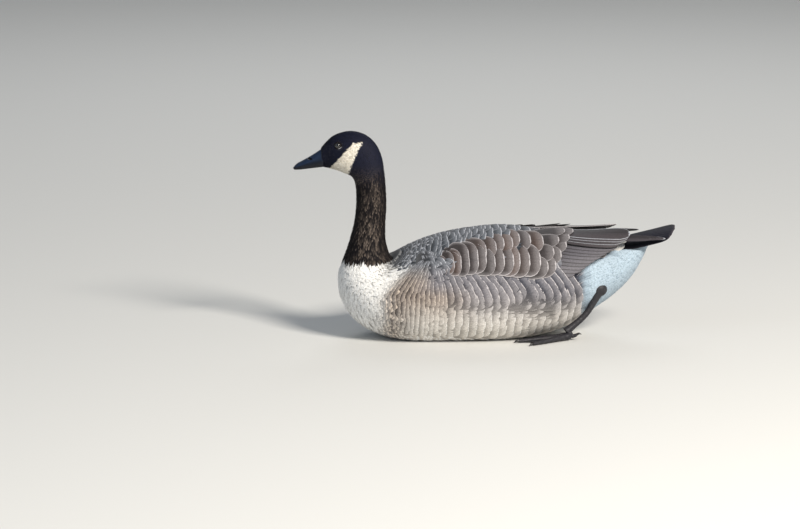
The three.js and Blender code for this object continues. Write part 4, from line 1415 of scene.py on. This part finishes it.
def mantleCoat():
    t, a = rowsOnBody(*mantle["t"], mantle["spacing"], mantle["pitch"],
                      lambda t: math.radians(read(mantle["half"], t)))
    n = len(t)
    strayT, strayA, strayTurn = mantle["stray"]
    t = t + rng.normal(0, strayT, n)
    a = a + rng.normal(0, strayA, n)
    length = read(mantle["length"], t) * rng.uniform(0.94, 1.06, n)
    proud = read(mantle["proud"], t)
    batch = layFeathers(bodySurface, t, a, square, length, read(mantle["width"], t),
                        rng.normal(0, strayTurn, n) + mantle["fan"] * a,
                        (-2.5 + proud * 0.7, 0.4 + proud + 0.3 * rng.random(n)), camber=0.004,
                        tilt=0.1 * np.sign(a), rise=1.0)
    back = ease(t, *mantle["brownFrom"])[:, None]
    return dye(batch, mix(plumage["slate"], plumage["brown"] * 0.8, back),
               mix(plumage["fringe"], plumage["paleFringe"], back), 0.1, patch=0.012)


def dress(name, batches, tFrom, tTo, look, slotName, nodeName):
    piece = coatPiece(name, batches, bodyUnwrap(tFrom, tTo))
    finishPiece(piece, feathers[look], slotName, nodeName)


dress("headCoat", [headCoat()], 0, 8.6, "head", "head_feathers", "head")
dress("neckCoat", [neckCoat()], 8.4, 15.9, "neck", "neck_feathers", "neck")
dress("breastCoat", [frontCoat()], 15, 30, "body", "body_feathers", "torso")
dress("flankCoat", [flankRows(-1), flankRows(1)], 15, 27, "flank", "body_feathers", "torso")
dress("mantleCoat", [mantleCoat()], 15, 28, "mantle", "body_feathers", "torso")
print("head, neck and body coats made")


# wings

# Each side's longest primary, and how much the tertials are lifted, swung up and drawn back.
wingSides = {
    -1: {"tipX": 286, "raised": 0, "lie": 0, "back": 0, "pale": plumage["fringe"]},
    1: {"tipX": 254, "raised": -3, "lie": 15, "back": 15, "pale": plumage["paleFringe"] * 1.2},
}
tipStray = 2.0                  # the most that a vane's tip lies off its even row
bed = {"columns": 14, "rows": 24, "x": (-96, 92), "lift": (-3, 1.0), "under": -9, "slope": (6, 5)}


# The wing's upper and lower border on the cloak, in degrees from the back.
def wingUpper(x):
    return np.where(x < 60, mix(50, 9, (x + 98) / 158), mix(9, 34, np.minimum((x - 60) / 90, 1)))


def wingLower(x):
    return mix(64, 71, ease(x, -98, 92))


# A row of vanes whose roots and tips run evenly from a first to a last one.
def tier(surface, count, roots, tips, widths, lifts, form, drop=0.0, **more):
    k = np.linspace(0, 1, count)[:, None]
    root, tip = (mix(*np.array(ends, float), k) for ends in (roots, tips))
    tip[:, 0] += rng.uniform(-tipStray, tipStray, count)
    return layLong(surface, root, tip, form, mix(*widths, k[:, 0]),
                   lift=(lifts[0], lifts[1] - drop * np.arange(count)), **more)


def wingBed(surface, name):
    s = np.linspace(0, 1, bed["rows"] + 1)[:, None]
    v = np.linspace(0, 1, bed["columns"] + 1)[None, :]
    frontSlope, sideSlope = bed["slope"]
    edge = np.minimum(np.minimum(frontSlope * s, sideSlope * np.minimum(v, 1 - v)), 1)
    x = mix(*bed["x"], s) + 0 * v
    point, out, _, _ = frameAt(surface, x, mix(wingUpper(x), wingLower(x), v))
    lifts = np.stack([mix(*bed["lift"], edge), 0 * edge + bed["under"]])
    made = newPiece(name, point + out * lifts[..., None],
                    sheetFaces(bed["rows"], bed["columns"], True))
    outwardFaces(made)
    smoothByAngle(made, 60)
    writeColours(made.data, "ground", np.tile(plumage["quill"], (len(made.data.vertices), 1)))
    return made


# primaries, deepest, then secondaries and tertials
def wingBatches(surface, side):
    own = wingSides[side]
    tipX, lie, back, pale = (own[k] for k in ("tipX", "lie", "back", "pale"))
    primaryRims = np.array([plumage["primary"] * 1.3] * 6 + [plumage["fringe"]])
    tertialRimsAndSlitShade = np.array([pale, pale * 0.7, pale * 0.7, plumage["quill"] * 0.4])
    # the secondaries' dark quill rims are painted shadow lines between the vanes, and the lowest tertial's
    # near-black rim is the painted shadow of the slit above the secondaries
    rows = (
        (7, [(80, 52), (76, 55)], [(tipX - 26, 52), (tipX, 52)], (12, 8), (-7, 2.6),
         {"step": 0.3, "drop": 0.3, "bow": -7, "camber": 0.01}, plumage["primary"], primaryRims, 0.15),
        (9, [(66, 24), (66, 62)], [(208, 57), (138, 77)], (24, 22), (-4.6, -1.8),
         {"step": 1.5, "drop": 0.05, "camber": 0.006}, plumage["secondary"], plumage["quill"], 0.12),
        (4, [(60, 8), (66, 19)], [(230 - back, 40 - lie), (212 - back, 54 - lie)], (30, 24),
         (-1.2, 3.4 + own["raised"]), {"step": 1.2, "drop": 0.5, "camber": 0.006, "thick": 0.9},
         plumage["tertial"], tertialRimsAndSlitShade, 0.12),
    )
    return [dye(tier(surface, *places, longForm, **more), ground, rim, difference)
            for *places, more, ground, rim, difference in rows]


# Scapulars: tips of their rows along the wing, front to back, two feathers a row. The first
# rows are small, low and narrow.
scapular = {
    "tips": (-78, -67, -56, -44, -31, -17, -3, 11, 25, 38, 51, 68, 90),
    "grown": (-90, -30), "apart": (0.13, 0.25), "apartAt": (-10, 20), "stray": 1.5,
    "slant": (4, 16), "slantAt": (40, 90), "length": (26, 54), "lengthAt": (-86, 40),
    "width": (30, 32, 22), "share": 1.75, "rust": 0.6,
    "coverts": ((0, 5, 2.6), (14, 4, 3.6)),          # set ahead, count and lift of the tips
}


def scapularBatches(surface):
    batches = []
    count = 2
    for row, x in enumerate(scapular["tips"]):
        grown = ease(x, *scapular["grown"])
        rear = ease(x, *scapular["apartAt"])
        high = float(np.maximum(wingUpper(x) + 2, 11)) + (row % 2) * 3
        low = float(wingLower(x)) - 4
        k = 0.5 + mix(*scapular["apart"], rear) * np.array([-1, 1])
        stray = scapular["stray"]
        degrees = mix(high, low, k) + rng.uniform(-stray, stray, count)
        slant = mix(*scapular["slant"], ease(x, *scapular["slantAt"])) * k ** 1.5
        tipX = x - slant + rng.uniform(-stray, stray, count)
        first, extra, extraRear = scapular["width"]
        width = mix(first, scapular["share"] * (low - high) / count + mix(extra, extraRear, rear), grown)
        length = mix(*scapular["length"], ease(x, *scapular["lengthAt"]))
        lifts = (mix(-6, 0.2, grown), mix(1.5, 3.2 + 2.0 * np.minimum(1, 0.3 + k), grown))
        vanes = layLong(surface, np.stack([tipX - length, degrees - 5], -1),
                        np.stack([tipX, degrees + 2], -1), broad, width, lift=lifts,
                        camber=0.006, step=0.7, rise=1.1)
        ground = mix(plumage["brown"], plumage["rust"], scapular["rust"] * rng.random((count, 1)))
        batches.append(dye(vanes, ground, plumage["paleFringe"], 0.12))
    # greater coverts, under the last scapulars
    for ahead, count, lift in scapular["coverts"]:
        vanes = tier(surface, count, [(76 - ahead, 17), (50 - ahead, 62)],
                     [(140 - ahead, 19), (106 - ahead, 65)], (36, 40), (-1.5, lift), broad,
                     step=0.5, camber=0.004)
        batches.append(dye(vanes, plumage["brown"] * 1.1, plumage["paleFringe"] * 0.9, 0.08))
    return batches


# each vane of a wing or tail gets its own patch of the bake map, in a grid
def placePatches(batches):
    total = sum(len(b["u"]) for b in batches)
    across = int(math.ceil(math.sqrt(total)))
    index = 0
    for batch in batches:
        k = index + np.arange(len(batch["u"]))
        batch["place"] = np.stack([(k % across + 0.5) / across, (k // across + 0.5) / across], -1)
        batch["patch"] = 0.9 / across
        index += len(k)
    return batches


# the wing bed wears the down material, with its painted shade in the gaps between vanes
bedDown = downMaterial()
for sideName, side in sides:
    surface = sided(cloakSurface, side)
    low = sideName.lower()
    wing = coatPiece("wing" + sideName, placePatches(wingBatches(surface, side)))
    finishPiece(wing, feathers["wing"], "wing_feathers", "wing_" + low)
    finishPiece(wingBed(surface, "wingBed" + sideName), bedDown, "wing_feathers", "wing_" + low)
    cover = coatPiece("scapulars" + sideName, placePatches(scapularBatches(surface)))
    finishPiece(cover, feathers["scapular"], "scapular_feathers", "scapulars_" + low)
print("wings made")


# tail: a fan of long feathers, with white coverts over its root

def tailBatches():
    count = tail["count"]
    share = np.linspace(-tail["spread"], tail["spread"], count)
    tips = np.stack([1 - tail["stray"] * rng.random(count), share], -1)
    fan = layLong(tailSurface, np.stack([0 * share, share], -1), tips, longForm, tail["width"],
                  lift=(-0.6, 0.2), camber=0.05, step=-tail["step"] * np.sign(share))
    batches = [dye(fan, plumage["tail"], plumage["primary"] * 1.6, 0.12)]
    for row in range(tail["covertRows"]):
        start = tail["covertFrom"] + tail["covertNext"] * row
        reach = tail["covertReach"]
        share = np.linspace(-1, 1, 9 - row % 2)
        coverts = layLong(tailSurface, np.stack([start - reach + 0 * share, share], -1),
                          np.stack([start + reach - 0.05 * np.abs(share), share], -1), middling,
                          tail["covertWidth"], camber=0.08,
                          lift=(0.2, tail["covertTop"] - tail["covertDrop"] * row))
        batches.append(dye(coverts, plumage["snow"], plumage["snow"], 0.04))
    return batches


fanPiece = coatPiece("tailFan", placePatches(tailBatches()))
finishPiece(fanPiece, feathers["tail"], "tail_feathers", "tail")
print("tail made")


# floor and light

studio = {
    "floorSize": 60, "floor": (0.62, 0.62, 0.60, 1), "aim": (0, 0, 0.12),
    "world": (0.80, 0.85, 0.92, 1), "worldStrength": 0.3,
    # place, size, watts and tint of each lamp
    "lamps": {
        "key": ((2.3, -3.7, 3.2), 1.5, 440, (1, 0.94, 0.86)),
        "fill": ((-3.2, -1.8, 1.8), 2.4, 18, (0.66, 0.82, 1)),
        "back": ((0.4, 3.2, 2.6), 2.0, 30, (0.95, 0.97, 1)),
    },
}


def makeStage():
    bpy.ops.mesh.primitive_plane_add(size=studio["floorSize"], location=(0, 0, 0))
    floor = bpy.context.active_object
    floor.name = "floor"
    material, _, _ = newMaterial("paleFloor", **{"Base Color": studio["floor"], "Roughness": 0.8})
    floor.data.materials.append(material)
    for name, (place, size, watts, tint) in studio["lamps"].items():
        data = bpy.data.lights.new(name, "AREA")
        data.size = size
        data.energy = watts
        data.color = tint
        lamp = addObject(name, data)
        lamp.location = place
        aim = Vector(studio["aim"]) - lamp.location
        lamp.rotation_euler = aim.to_track_quat("-Z", "Y").to_euler()
    world = bpy.data.worlds.new("studio")
    bpy.context.scene.world = world
    world.use_nodes = True
    back = world.node_tree.nodes["Background"]
    back.inputs[0].default_value = studio["world"]
    back.inputs[1].default_value = studio["worldStrength"]
    bpy.context.scene.view_settings.view_transform = "Standard"


makeStage()
